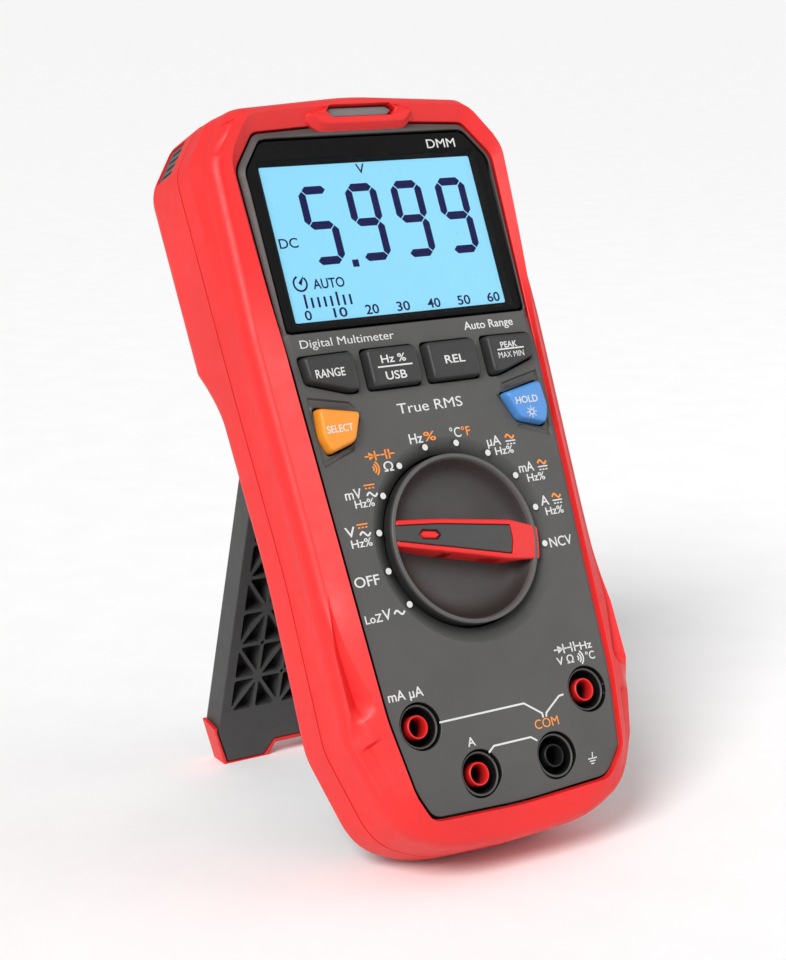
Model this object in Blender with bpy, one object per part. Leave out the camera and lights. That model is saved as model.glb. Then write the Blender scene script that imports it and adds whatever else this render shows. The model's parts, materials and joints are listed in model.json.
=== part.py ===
"""A digital multimeter leaning back on its fold-out tilt stand.

Driving dimensions are in millimetres and degrees, and MM turns them into metres. The case is drawn in
its own frame: x to the right, v up the face, h out of the face, with the origin at the middle of the
dial. The empty case_frame leans that frame back, and the pieces that move hang on empties of their own.
"""

import math

import bmesh
import bpy
from mathutils import Matrix, Vector

MM = 0.001
GAP = 0.3                    # clearance between neighbouring pieces
CUT = 3.0                    # how far a cutter runs past the face that it opens

# Attitude
LEAN = 25.0                  # the face leans back this far from upright
STAND_OPEN = 39.8            # the stand swings out this far from the case back
FOOT_FACET = 1.0             # depth of the flat worn into the lower rear edge, on which the case rests

# Depths below (-) or above (+) the front panel
PANEL = 0.0
PLATE = 3.0                  # panel thickness
SHOULDER = -5.3              # the panel's skirt steps out here, under the soft rim
PARTING = -17.9              # front and rear halves meet here
RIM_LIP = 0.2                # the soft rim starts here beside the panel
RIM_TOP = 1.2                # and rises to this
RIM_BEVEL = 1.6
CREST = -4.5                 # the edge between the rim's front and its side
WALL_END_HUMP = -30.0        # the side wall ends and the rear chamfer begins, behind the display
WALL_END_WAIST = -24.8       # beside the stand
WALL_END_FOOT = -26.5        # and at the lower end
BACK_HUMP = -41.0            # back plane behind the display
BACK_WAIST = -34.0           # back plane under the folded stand
STEP_TOP = 50.0              # the back steps from hump to waist between these two heights
STEP_LOW = 46.0
SKIN = 2.2                   # soft overmould
WALL = 1.8                   # hard shell
CHAMFER = 9.5                # the rear edge is cut off this far in
DRAFT = 0.6                  # the side is this much wider at the parting line than at the crest

# Half outlines from the top of the centre line to the bottom: x, v, length of the rounding
CASE_HALF = [
    (0, 112.4, 6), (34.6, 110.2, 4), (43.6, 98.6, 5), (42.3, 54, 3), (41.8, 41, 3),
    (40.0, 0, 8), (40.5, -41, 3), (33.5, -64, 7), (20, -70, 6), (0, -71, 6),
]
PANEL_HALF = [
    (0, 104.2, 6), (29.2, 102.7, 1.5), (36.4, 93, 2), (35.0, 54, 3), (34.7, 41, 3),
    (33.2, 0, 8), (31.9, -38, 3), (29.5, -55.5, 1.5), (25.5, -61.8, 2.5), (0, -62.8, 6),
]
CORNER_POINTS = 4
CREASE = -55.5               # below this the panel slopes away
CREASE_SLOPE = 0.32

# Display
LENS_HALF = [(0, 100.4, 3), (28.9, 100.3, 1.5), (34.4, 93, 1.5), (33.6, 54, 1.2), (0, 54, 3)]
LENS_TOP, LENS_LOW = -0.2, -1.2
POCKET = 1.5
VIEW = (31.8, 54.9, 95.8)    # half width, lowest and highest v of the opening over the display
LCD = (31.4, 55.3, 95.4)
LCD_FRAME = (30.8, 54.2, 95.6)
BACKLIGHT = (28.4, 56.6, 93.2)

# Keys: right-hand outlines, each also mirrored to the left
KEY_TOP = 2.4
KEY_LOW = -7.9
KEY_TRAVEL = 0.8
KEY_CLEAR = 0.35
KEY_OUTER = [(19.2, 47.7), (33.2, 47.5), (32.7, 41.4), (21.9, 38.2), (19.2, 38.2)]
KEY_INNER = [(1.4, 47.7), (15.9, 47.7), (15.9, 38.2), (1.4, 38.2)]
KEY_LOWER = [(20.9, 33.2), (32.3, 35.3), (32.8, 28.2), (31.2, 24.2), (24.0, 26.2)]
MAT = (31.0, 23.4, 48.6)

# Dial
DIAL_HOLE = 20.9
DIAL_RING = 20.5
DIAL_DISH = 19.4
CUP_FLOOR = -6.8
CUP_WALL = 1.6
SHAFT = 5.5
DETENT_STEP = 22.5
FIRST_DETENT = 213.75        # angle of the first position, anticlockwise from x
REST_DETENT = 2              # the knob points at the third position, counted from 0
RING_TOP = 1.2
DISH_FLOOR = -5.0
BAR_TOP = 2.3                # the finger bar stands this high in the middle
BAR_END = 0.9                # and this high at both ends
ROTOR_TOP, ROTOR_LOW = -8.5, -10.1
BALL_PATH = 12.5             # radius at which the detent ball runs
TAIL = 21.2                  # the bar's tail ends here, just over the ring

# Jacks: name, x, v
JACKS = [("milliamp", -24.4, -40.7), ("amp", -11.0, -54.2), ("common", 11.0, -54.2), ("volt", 24.4, -40.7)]
JACK_RING = 5.7
JACK_HOLE = 5.0
JACK_RING_TOP = 0.8
JACK_LOW = -20.0

# Inside
BOARD_TOP, BOARD_LOW = -12.6, -14.2
BOARD_INSET = 6.2
SCREWS = [(-12, 98.8), (12, 98.8), (-24, -56), (24, -56)]
BOSS = 2.7                   # radius of the front half's screw bosses
SCREW_WELL = 2.5             # the screw heads sit at the bottom of wells this wide
SCREW_SHAFT = 1.25
SCREW_SEAT = -24.3
BAY = (24.0, -16.0, 37.0)    # battery bay half width, lowest and highest v
TAB = 6.0                    # half width of the cover's screw tab
COVER_SCREW = (0.0, -20.2)
BAY_FLOOR = -19.8
CELL_RADIUS = 5.1
CELL_LENGTH = 44.5
CELL_H = -25.8
FUSES = [("fuse_milliamp", 3.1, -24.5), ("fuse_amp", 5.0, -36.5)]
FUSE_HALF = 15.0
BUZZER = (0.0, 62.0)

# Stand
HINGE_V, HINGE_H = 44.7, -38.0
STAND_HALF = 24.5
STAND_THICK = 3.3
STAND_EDGE = 1.5
PIN_RADIUS = 1.2
RIB_PITCH = 10.0
RIB = 0.7


def sin(degrees):
    return math.sin(math.radians(degrees))


def cos(degrees):
    return math.cos(math.radians(degrees))


# Heights from the dial's middle, upright
CASE_END = CASE_HALF[-1][1] - DRAFT
FLOOR = CASE_END * cos(LEAN) + WALL_END_FOOT * sin(LEAN) + FOOT_FACET
HINGE_Z = HINGE_V * cos(LEAN) + HINGE_H * sin(LEAN)
STAND_TILT = STAND_OPEN - LEAN     # the open stand from upright
STAND_LENGTH = (HINGE_Z - FLOOR) / cos(STAND_TILT)

MATERIALS = {
    "soft_red": ((0.86, 0.045, 0.04), 0.55, 0.0),
    "panel_grey": ((0.09, 0.09, 0.085), 0.5, 0.0),
    "shell_grey": ((0.05, 0.05, 0.05), 0.55, 0.0),
    "key_charcoal": ((0.045, 0.045, 0.045), 0.5, 0.0),
    "key_orange": ((0.9, 0.36, 0.03), 0.45, 0.0),
    "key_blue": ((0.1, 0.3, 0.7), 0.45, 0.0),
    "window": ((0.01, 0.01, 0.01), 0.15, 0.0),
    "display_blue": ((0.24, 0.62, 0.84), 0.3, 0.0),
    "white_plastic": ((0.7, 0.7, 0.68), 0.45, 0.0),
    "rubber_grey": ((0.25, 0.25, 0.25), 0.8, 0.0),
    "gloss_black": ((0.012, 0.012, 0.012), 0.4, 0.0),
    "board_green": ((0.02, 0.2, 0.07), 0.4, 0.0),
    "brass": ((0.75, 0.55, 0.2), 0.3, 1.0),
    "steel": ((0.55, 0.55, 0.56), 0.35, 1.0),
    "ceramic": ((0.75, 0.72, 0.65), 0.5, 0.0),
    "cell_jacket": ((0.04, 0.07, 0.12), 0.35, 0.2),
}


# Points and outlines

def place(x, v, h):
    """The point in the case frame's axes: x right, y into the case, z up the face."""
    return Vector((x, -h, v)) * MM


def closed_outline(half):
    """The whole outline from its right half, clockwise from the top."""
    left = [(-x, v, t) for x, v, t in reversed(half) if x > 0]
    return list(half) + left


def offset_corners(corners, inset):
    """Moves every edge of a clockwise outline inwards and returns where the edges meet again."""
    moved = []
    for i, (x, v, t) in enumerate(corners):
        here = Vector((x, v))
        before = (here - Vector(corners[i - 1][:2])).normalized()
        after = (Vector(corners[(i + 1) % len(corners)][:2]) - here).normalized()
        inward_before = Vector((before.y, -before.x))
        inward_after = Vector((after.y, -after.x))
        mitre = (inward_before + inward_after).normalized()
        point = here + mitre * (inset / mitre.dot(inward_before))
        moved.append((point.x, point.y, t))
    return moved


def rounded(corners, points=CORNER_POINTS, inset=0.0):
    """Rounds each corner over its length t, with the first point on the middle of corner 0."""
    corners = offset_corners(corners, inset)
    outline = []
    for i, (x, v, t) in enumerate(corners):
        here = Vector((x, v))
        back = Vector(corners[i - 1][:2]) - here
        ahead = Vector(corners[(i + 1) % len(corners)][:2]) - here
        start = here + back.normalized() * min(t, 0.45 * back.length)
        end = here + ahead.normalized() * min(t, 0.45 * ahead.length)
        for k in range(points):
            u = k / (points - 1)
            point = start * (1 - u) ** 2 + here * 2 * u * (1 - u) + end * u * u
            outline.append((point.x, point.y))
    return outline


def case_outline(inset=0.0):
    return rounded(closed_outline(CASE_HALF), inset=inset)


def panel_outline(inset=0.0):
    return rounded(closed_outline(PANEL_HALF), inset=inset)


def blend(low, high, share):
    return low + (high - low) * min(max(share, 0.0), 1.0)


def panel_h(v):
    """The panel's surface: flat, then sloping away below the crease."""
    return PANEL - max(CREASE - v, 0.0) * CREASE_SLOPE


def shoulder_h(v):
    """The step under the soft rim, which follows the panel's slope part of the way."""
    return SHOULDER + 0.4 * panel_h(v)


def wall_end(v):
    """Where the side wall ends and the rear chamfer begins."""
    if v > STEP_LOW:
        return blend(WALL_END_WAIST, WALL_END_HUMP, (v - STEP_LOW) / (STEP_TOP - STEP_LOW))
    return blend(WALL_END_WAIST, WALL_END_FOOT, (10 - v) / 50)


def back_h(v):
    return blend(BACK_WAIST, BACK_HUMP, (v - STEP_LOW) / (STEP_TOP - STEP_LOW))


def ring(outline, depth):
    """The outline as points, at a depth that is a number or a function of v."""
    return [place(x, v, depth(v) if callable(depth) else depth) for x, v in outline]


# Mesh tools

def loft(bm, rings, closed=False):
    """Joins rings of equal length with faces, and returns their vertices."""
    made = [[bm.verts.new(point) for point in points] for points in rings]
    pairs = list(zip(made, made[1:]))
    if closed:
        pairs.append((made[-1], made[0]))
    for first, second in pairs:
        for i in range(len(first)):
            j = (i + 1) % len(first)
            bm.faces.new((first[i], first[j], second[j], second[i]))
    return made


def cap(bm, verts):
    bm.faces.new(verts)


def ladder_cap(bm, verts, points=CORNER_POINTS):
    """Closes a mirrored ring with rungs from side to side, so that it may step in depth."""
    shift = points // 2
    verts = verts[shift:] + verts[:shift]
    count = len(verts)
    for i in range((count - 1) // 2):
        quad = [verts[i], verts[i + 1], verts[count - 2 - i], verts[count - 1 - i]]
        bm.faces.new(list(dict.fromkeys(quad)))


def prism(bm, outline, low, high):
    bottom, top = loft(bm, [ring(outline, low), ring(outline, high)])
    cap(bm, bottom)
    cap(bm, top)


def box(bm, x0, x1, v0, v1, h0, h1):
    prism(bm, [(x0, v0), (x1, v0), (x1, v1), (x0, v1)], h0, h1)


def circle(radius, sides, x=0.0, v=0.0, turn=0.0):
    angles = [turn + 360 * k / sides for k in range(sides)]
    return [(x + radius * cos(angle), v + radius * sin(angle)) for angle in angles]


def turned(bm, profile, sides, x=0.0, v=0.0, closed=False):
    """Turns a profile of (radius, h) about an axis along h. An open profile is capped at both ends."""
    rings = [ring(circle(radius, sides, x, v), h) for radius, h in profile]
    made = loft(bm, rings, closed)
    if not closed:
        cap(bm, made[0])
        cap(bm, made[-1])


def rod(bm, radius, sides, start, end):
    """A round rod between two points of the case frame."""
    first, last = place(*start), place(*end)
    turn = (last - first).to_track_quat("Z", "Y").to_matrix().to_4x4()
    matrix = Matrix.Translation((first + last) / 2) @ turn
    size = radius * MM
    bmesh.ops.create_cone(
        bm, cap_ends=True, segments=sides, radius1=size, radius2=size,
        depth=(last - first).length, matrix=matrix,
    )


# Objects

def material_of(name):
    found = bpy.data.materials.get(name)
    if found:
        return found
    colour, roughness, metallic = MATERIALS[name]
    made = bpy.data.materials.new(name)
    made.use_nodes = True
    shader = made.node_tree.nodes["Principled BSDF"]
    shader.inputs["Base Color"].default_value = (*colour, 1.0)
    shader.inputs["Roughness"].default_value = roughness
    shader.inputs["Metallic"].default_value = metallic
    return made


def empty(name, parent, point, turn_x=0.0, turn_y=0.0):
    made = bpy.data.objects.new(name, None)
    made.location = point
    made.rotation_euler = (math.radians(turn_x), math.radians(turn_y), 0)
    made.parent = parent
    bpy.context.scene.collection.objects.link(made)
    return made


def piece(name, bm, material, parent, origin=None):
    """Makes the object. With an origin its mesh is drawn about that point, on the piece's joint axis."""
    if origin is not None:
        bmesh.ops.translate(bm, verts=bm.verts, vec=-origin)
    bmesh.ops.recalc_face_normals(bm, faces=bm.faces)
    mesh = bpy.data.meshes.new(name)
    bm.to_mesh(mesh)
    bm.free()
    mesh.materials.append(material_of(material))
    mesh.shade_smooth()
    mesh.set_sharp_from_angle(angle=math.radians(30))
    made = bpy.data.objects.new(name, mesh)
    made.parent = parent
    if origin is not None:
        made.location = origin
    bpy.context.scene.collection.objects.link(made)
    return made


def boolean(target, name, operation, bm):
    """Cuts or joins a helper mesh, which stays hidden, with a Boolean modifier."""
    helper = piece(f"{target.name}_{name}", bm, "steel", target.parent)
    helper.hide_render = True
    helper.display_type = "WIRE"
    modifier = target.modifiers.new(name, "BOOLEAN")
    modifier.operation = operation
    modifier.solver = "EXACT"
    modifier.object = helper


def mirrored(outline):
    return [(-x, v) for x, v in reversed(outline)]


def with_rounding(outline, length):
    return [(x, v, length) for x, v in outline]


def key_outline(points, inset=0.0):
    """Key outlines are listed clockwise."""
    return rounded(with_rounding(points, 1.2), points=3, inset=inset)


# Case

def front_shell(frame):
    bm = bmesh.new()
    edge = panel_outline(GAP)
    rings = [
        ring(edge, panel_h),
        ring(edge, shoulder_h),
        ring(case_outline(SKIN + GAP), lambda v: shoulder_h(v) - 2),
        ring(case_outline(SKIN + GAP - DRAFT), PARTING),
        ring(case_outline(SKIN + GAP + WALL - DRAFT), PARTING),
        ring(case_outline(SKIN + GAP + WALL), lambda v: shoulder_h(v) - 2 - WALL),
        ring(panel_outline(GAP + WALL), lambda v: shoulder_h(v) - 1.2),
        ring(panel_outline(GAP + WALL), lambda v: panel_h(v) - PLATE),
    ]
    made = loft(bm, rings)
    ladder_cap(bm, made[0])
    ladder_cap(bm, made[-1])
    shell = piece("front_shell", bm, "panel_grey", frame)

    bm = bmesh.new()
    turned(bm, [(DIAL_HOLE + CUP_WALL, -1.0), (DIAL_HOLE + CUP_WALL, CUP_FLOOR - 1.2)], 32)
    for _, x, v in JACKS:
        turned(bm, [(JACK_RING, JACK_LOW), (JACK_RING, 0.4), (JACK_RING - 0.4, JACK_RING_TOP)], 16, x, v)
    for x, v in SCREWS:
        turned(bm, [(BOSS, -1.5), (BOSS, PARTING + 0.4)], 12, x, v)
    boolean(shell, "bosses", "UNION", bm)

    bm = bmesh.new()
    prism(bm, rounded(closed_outline(LENS_HALF), points=3, inset=-GAP), -POCKET, CUT)
    for outline in key_outlines().values():
        prism(bm, key_outline(outline, -KEY_CLEAR), -10.0, CUT)
    turned(bm, [(DIAL_HOLE, CUT), (DIAL_HOLE, CUP_FLOOR)], 32)
    for _, x, v in JACKS:
        turned(bm, [(JACK_HOLE, CUT), (JACK_HOLE, JACK_LOW - CUT)], 16, x, v)
    for x, v in SCREWS:
        turned(bm, [(SCREW_SHAFT + GAP, -4.0), (SCREW_SHAFT + GAP, PARTING - CUT)], 12, x, v)
    boolean(shell, "openings", "DIFFERENCE", bm)

    bm = bmesh.new()
    half, low, high = VIEW
    box(bm, -half, half, low, high, -CUT - PLATE, CUT)
    turned(bm, [(SHAFT + GAP, CUT), (SHAFT + GAP, CUP_FLOOR - CUT)], 20)
    boolean(shell, "view", "DIFFERENCE", bm)


def front_overmould(frame):
    bm = bmesh.new()
    inner = panel_outline()
    lip = panel_outline(-RIM_BEVEL)
    rings = [
        ring(inner, lambda v: shoulder_h(v) + 0.9),
        ring(inner, lambda v: RIM_LIP + panel_h(v)),
        ring(lip, lambda v: RIM_TOP + panel_h(v)),
        ring(case_outline(2.0), lambda v: blend(CREST + 1.4, 0.2, (v - 99) / 6)),
        ring(case_outline(), CREST),
        ring(case_outline(-DRAFT), PARTING),
        ring(case_outline(SKIN - DRAFT), PARTING),
        ring(case_outline(SKIN), lambda v: shoulder_h(v) - 1.2),
    ]
    loft(bm, rings, closed=True)
    rim = piece("front_overmould", bm, "soft_red", frame)

    bm = bmesh.new()
    prism(bm, [(-12.2, 102.0), (12.2, 102.0), (15.6, 104.9), (15.6, 107.4), (-15.6, 107.4), (-15.6, 104.9)],
          GAP, RIM_TOP)
    boolean(rim, "slot_block", "UNION", bm)

    bm = bmesh.new()
    prism(bm, slot_outline(GAP), -0.9, CUT)
    boolean(rim, "slot_pocket", "DIFFERENCE", bm)

    bm = bmesh.new()
    prism(bm, slot_outline(0.0), -0.6, 0.1)
    piece("field_sensor_window", bm, "rubber_grey", frame)


def slot_outline(margin):
    half, low, high = 9.7 + margin, 105.8 - margin, 108.3 + margin
    middle = (low + high) / 2
    return [(-half, middle), (-half + 1.2, low), (half - 1.2, low), (half, middle),
            (half - 1.2, high), (-half + 1.2, high)]


def rear_edge(inset, share):
    """A point on the rear chamfer: share 0 at the side wall, 1 at the back."""
    return inset + CHAMFER * share, lambda v: blend(wall_end(v), back_h(v), share)


def rear_overmould(frame):
    bm = bmesh.new()
    inset, depth = rear_edge(0.0, 0.62)
    rings = [
        ring(case_outline(-DRAFT), PARTING - GAP),
        ring(case_outline(-DRAFT), wall_end),
        ring(case_outline(inset - DRAFT), depth),
        ring(case_outline(inset + 1.2 - DRAFT), lambda v: depth(v) + 1.6),
        ring(case_outline(SKIN - DRAFT), lambda v: wall_end(v) + 0.9),
        ring(case_outline(SKIN - DRAFT), PARTING - GAP),
    ]
    loft(bm, rings, closed=True)
    skin = piece("rear_overmould", bm, "soft_red", frame)

    bm = bmesh.new()
    reach = 200.0
    corners = [(-reach, FLOOR), (reach, FLOOR), (reach, FLOOR - 60), (-reach, FLOOR - 60)]
    rings = [[leaning(x, y, z) for y, z in corners] for x in (-reach, reach)]
    first, last = loft(bm, rings)
    cap(bm, first)
    cap(bm, last)
    boolean(skin, "floor", "DIFFERENCE", bm)

    bm = bmesh.new()
    for side in (-1, 1):
        vent_block(bm, side, GAP, -CUT, CUT)
    boolean(skin, "vent_windows", "DIFFERENCE", bm)
    for side, name in ((-1, "vent_insert_left"), (1, "vent_insert_right")):
        bm = bmesh.new()
        vent_block(bm, side, 0.0, -1.9, -0.3)
        piece(name, bm, "shell_grey", frame)


def leaning(x, y, z):
    """A point given upright, y back and z up from the dial, in the leaning case frame."""
    v = y * sin(LEAN) + z * cos(LEAN)
    h = -y * cos(LEAN) + z * sin(LEAN)
    return place(x, v, h)


def vent_block(bm, side, margin, low, high):
    """A block on the upper corner's flat, from low to high along its outward normal."""
    first = Vector(CASE_HALF[1][:2])
    last = Vector(CASE_HALF[2][:2])
    along = (last - first).normalized()
    outward = Vector((-along.y, along.x))
    middle = (first + last) / 2 + outward * DRAFT
    outline = []
    for u, n in ((-5 - margin, low), (5 + margin, low), (5 + margin, high), (-5 - margin, high)):
        point = middle + along * u + outward * n
        outline.append((side * point.x, point.y))
    prism(bm, outline, -28.8 - margin, -20.4 + margin)


def rear_shell(frame):
    bm = bmesh.new()
    side = SKIN + GAP - DRAFT
    covered, covered_h = rear_edge(0.0, 0.62)
    bare, bare_h = rear_edge(0.0, 0.66)
    back, _ = rear_edge(0.0, 1.0)
    rings = [
        ring(case_outline(side), PARTING - GAP),
        ring(case_outline(side), lambda v: wall_end(v) + 1.3),
        ring(case_outline(covered + 1.55 - DRAFT), lambda v: covered_h(v) + 1.8),
        ring(case_outline(bare - DRAFT), bare_h),
        ring(case_outline(back - DRAFT), back_h),
        ring(case_outline(back + 0.6), lambda v: back_h(v) + 2.0),
        ring(case_outline(side + WALL), lambda v: wall_end(v) + 2.4),
        ring(case_outline(side + WALL), PARTING - GAP),
    ]
    made = loft(bm, rings[:5])
    ladder_cap(bm, made[-1])
    inner = loft(bm, rings[5:])
    ladder_cap(bm, inner[0])
    for i in range(len(made[0])):
        j = (i + 1) % len(made[0])
        bm.faces.new((made[0][i], made[0][j], inner[-1][j], inner[-1][i]))
    shell = piece("rear_shell", bm, "shell_grey", frame)

    bm = bmesh.new()
    half, low, high = BAY
    box(bm, -half - 1.5, half + 1.5, low - 1.5, high + 1.5, BACK_WAIST + 1.0, BAY_FLOOR + 1.4)
    box(bm, -27, 27, 46.5, 51.2, HINGE_H - 0.5, BACK_WAIST + 2.1)
    boolean(shell, "bay", "UNION", bm)

    bm = bmesh.new()
    box(bm, -7.5, 7.5, low - 10, low - 1, BACK_WAIST + 1.0, BACK_WAIST + 5.5)
    for end in (-1, 1):
        box(bm, end * 25.1, end * 30.5, 40.2, 50.6, BACK_WAIST + 1.0, HINGE_H - 3.0)
    for x, v in SCREWS:
        turned(bm, [(SCREW_WELL + 0.8, back_h(v) + 1.8), (SCREW_WELL + 0.8, PARTING - GAP)], 12, x, v)
    boolean(shell, "bosses", "UNION", bm)

    bm = bmesh.new()
    box(bm, -half, half, low, high, BACK_WAIST - CUT, BAY_FLOOR)
    turned(bm, [(1.6, BACK_WAIST - CUT), (1.6, BACK_WAIST + 4.5)], 12, *COVER_SCREW)
    for x, v in SCREWS:
        turned(bm, [(SCREW_WELL, back_h(v) - CUT), (SCREW_WELL, SCREW_SEAT + GAP)], 14, x, v)
    boolean(shell, "openings", "DIFFERENCE", bm)

    bm = bmesh.new()
    for x, v in SCREWS:
        turned(bm, [(SCREW_SHAFT + GAP, -30.0), (SCREW_SHAFT + GAP, PARTING + CUT)], 12, x, v)
    rod(bm, PIN_RADIUS + GAP, 12, (-29.2, HINGE_V, HINGE_H), (29.2, HINGE_V, HINGE_H))
    boolean(shell, "screw_holes", "DIFFERENCE", bm)

    bm = bmesh.new()
    box(bm, -25.1, 25.1, 39.8, 49.2, BACK_WAIST - 0.3, BACK_HUMP - CUT)
    box(bm, -TAB - GAP, TAB + GAP, low - 8 - GAP, low + 0.5, BACK_WAIST - CUT, BACK_WAIST + 2.1)
    boolean(shell, "hinge_recess", "DIFFERENCE", bm)

    for index, (x, v) in enumerate(SCREWS):
        bm = bmesh.new()
        head = SCREW_SEAT - 1.9
        profile = [(SCREW_SHAFT, -9.0), (SCREW_SHAFT, SCREW_SEAT), (SCREW_WELL - GAP, SCREW_SEAT),
                   (SCREW_WELL - GAP, head)]
        turned(bm, profile, 12, x, v)
        screw = piece(f"case_screw_{index + 1}", bm, "steel", frame)
        bm = bmesh.new()
        prism(bm, cross_outline(x, v, 1.4, 0.35), head - CUT, head + 1.0)
        boolean(screw, "drive", "DIFFERENCE", bm)


def cross_outline(x, v, reach, half):
    """A cross recess, as twelve corners."""
    arm = [(half, reach), (-half, reach), (-half, half)]
    outline = []
    for quarter in range(4):
        turn = 90 * quarter
        outline += [(x + a * cos(turn) - b * sin(turn), v + a * sin(turn) + b * cos(turn)) for a, b in arm]
    return outline


def battery_cover(frame):
    bm = bmesh.new()
    half, low, high = BAY
    right = [(0, high - GAP, 1), (half - GAP, high - GAP, 1), (half - GAP, low + GAP, 1),
             (TAB, low + GAP, 1), (TAB, low - 8, 1.5), (0, low - 8, 1)]
    prism(bm, rounded(closed_outline(right), points=3), BACK_WAIST, BACK_WAIST + 1.8)
    cover = piece("battery_cover", bm, "shell_grey", frame)
    bm = bmesh.new()
    turned(bm, [(2.9, BACK_WAIST - CUT), (2.9, BACK_WAIST + 0.9)], 14, *COVER_SCREW)
    boolean(cover, "screw_seat", "DIFFERENCE", bm)
    bm = bmesh.new()
    turned(bm, [(1.6, BACK_WAIST - CUT), (1.6, BACK_WAIST + CUT)], 12, *COVER_SCREW)
    boolean(cover, "screw_hole", "DIFFERENCE", bm)
    bm = bmesh.new()
    under_head = BACK_WAIST + 0.6
    profile = [(1.25, BACK_WAIST + 4.2), (1.25, under_head), (2.6, under_head), (2.6, BACK_WAIST + 0.1)]
    turned(bm, profile, 12, *COVER_SCREW)
    screw = piece("battery_cover_screw", bm, "steel", frame)
    bm = bmesh.new()
    box(bm, -2.0, 2.0, COVER_SCREW[1] - 0.3, COVER_SCREW[1] + 0.3, BACK_WAIST - CUT, BACK_WAIST + 0.35)
    boolean(screw, "slot", "DIFFERENCE", bm)


# Display

def display(frame):
    bm = bmesh.new()
    prism(bm, rounded(closed_outline(LENS_HALF), points=3), LENS_LOW, LENS_TOP)
    piece("display_window", bm, "window", frame)

    bm = bmesh.new()
    half, low, high = LCD
    box(bm, -half, half, low, high, -3.3, -1.6)
    piece("lcd_panel", bm, "display_blue", frame)

    bm = bmesh.new()
    half, low, high = LCD_FRAME
    box(bm, -half, half, low, high, -8.8, -3.6)
    lcd_frame = piece("lcd_frame", bm, "white_plastic", frame)
    bm = bmesh.new()
    box(bm, -half + 2, half - 2, low + 2, high - 2, -8.8 - CUT, -3.6 + CUT)
    boolean(lcd_frame, "middle", "DIFFERENCE", bm)

    bm = bmesh.new()
    half, low, high = BACKLIGHT
    box(bm, -half, half, low, high, -6.0, -3.7)
    piece("backlight_panel", bm, "white_plastic", frame)


# Keys

def key_outlines():
    """Clockwise outlines of the six keys."""
    return {
        "key_range": mirrored(KEY_OUTER),
        "key_hertz": mirrored(KEY_INNER),
        "key_relative": KEY_INNER,
        "key_peak": KEY_OUTER,
        "key_select": mirrored(KEY_LOWER),
        "key_hold": KEY_LOWER,
    }


def keys(frame):
    materials = {"key_select": "key_orange", "key_hold": "key_blue"}
    for name, outline in key_outlines().items():
        bm = bmesh.new()
        rings = [
            ring(key_outline(outline), KEY_LOW),
            ring(key_outline(outline), KEY_TOP - 0.7),
            ring(key_outline(outline, 0.7), KEY_TOP),
        ]
        made = loft(bm, rings)
        cap(bm, made[0])
        cap(bm, made[-1])
        middle = sum((Vector(point) for point in outline), Vector((0, 0))) / len(outline)
        origin = place(middle.x, middle.y, 0)
        piece(name, bm, materials.get(name, "key_charcoal"), frame, origin)

    bm = bmesh.new()
    half, low, high = MAT
    top = KEY_LOW - KEY_TRAVEL - GAP
    box(bm, -half, half, low, high, BOARD_TOP + GAP, top)
    piece("keypad_mat", bm, "rubber_grey", frame)


# Dial

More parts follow.
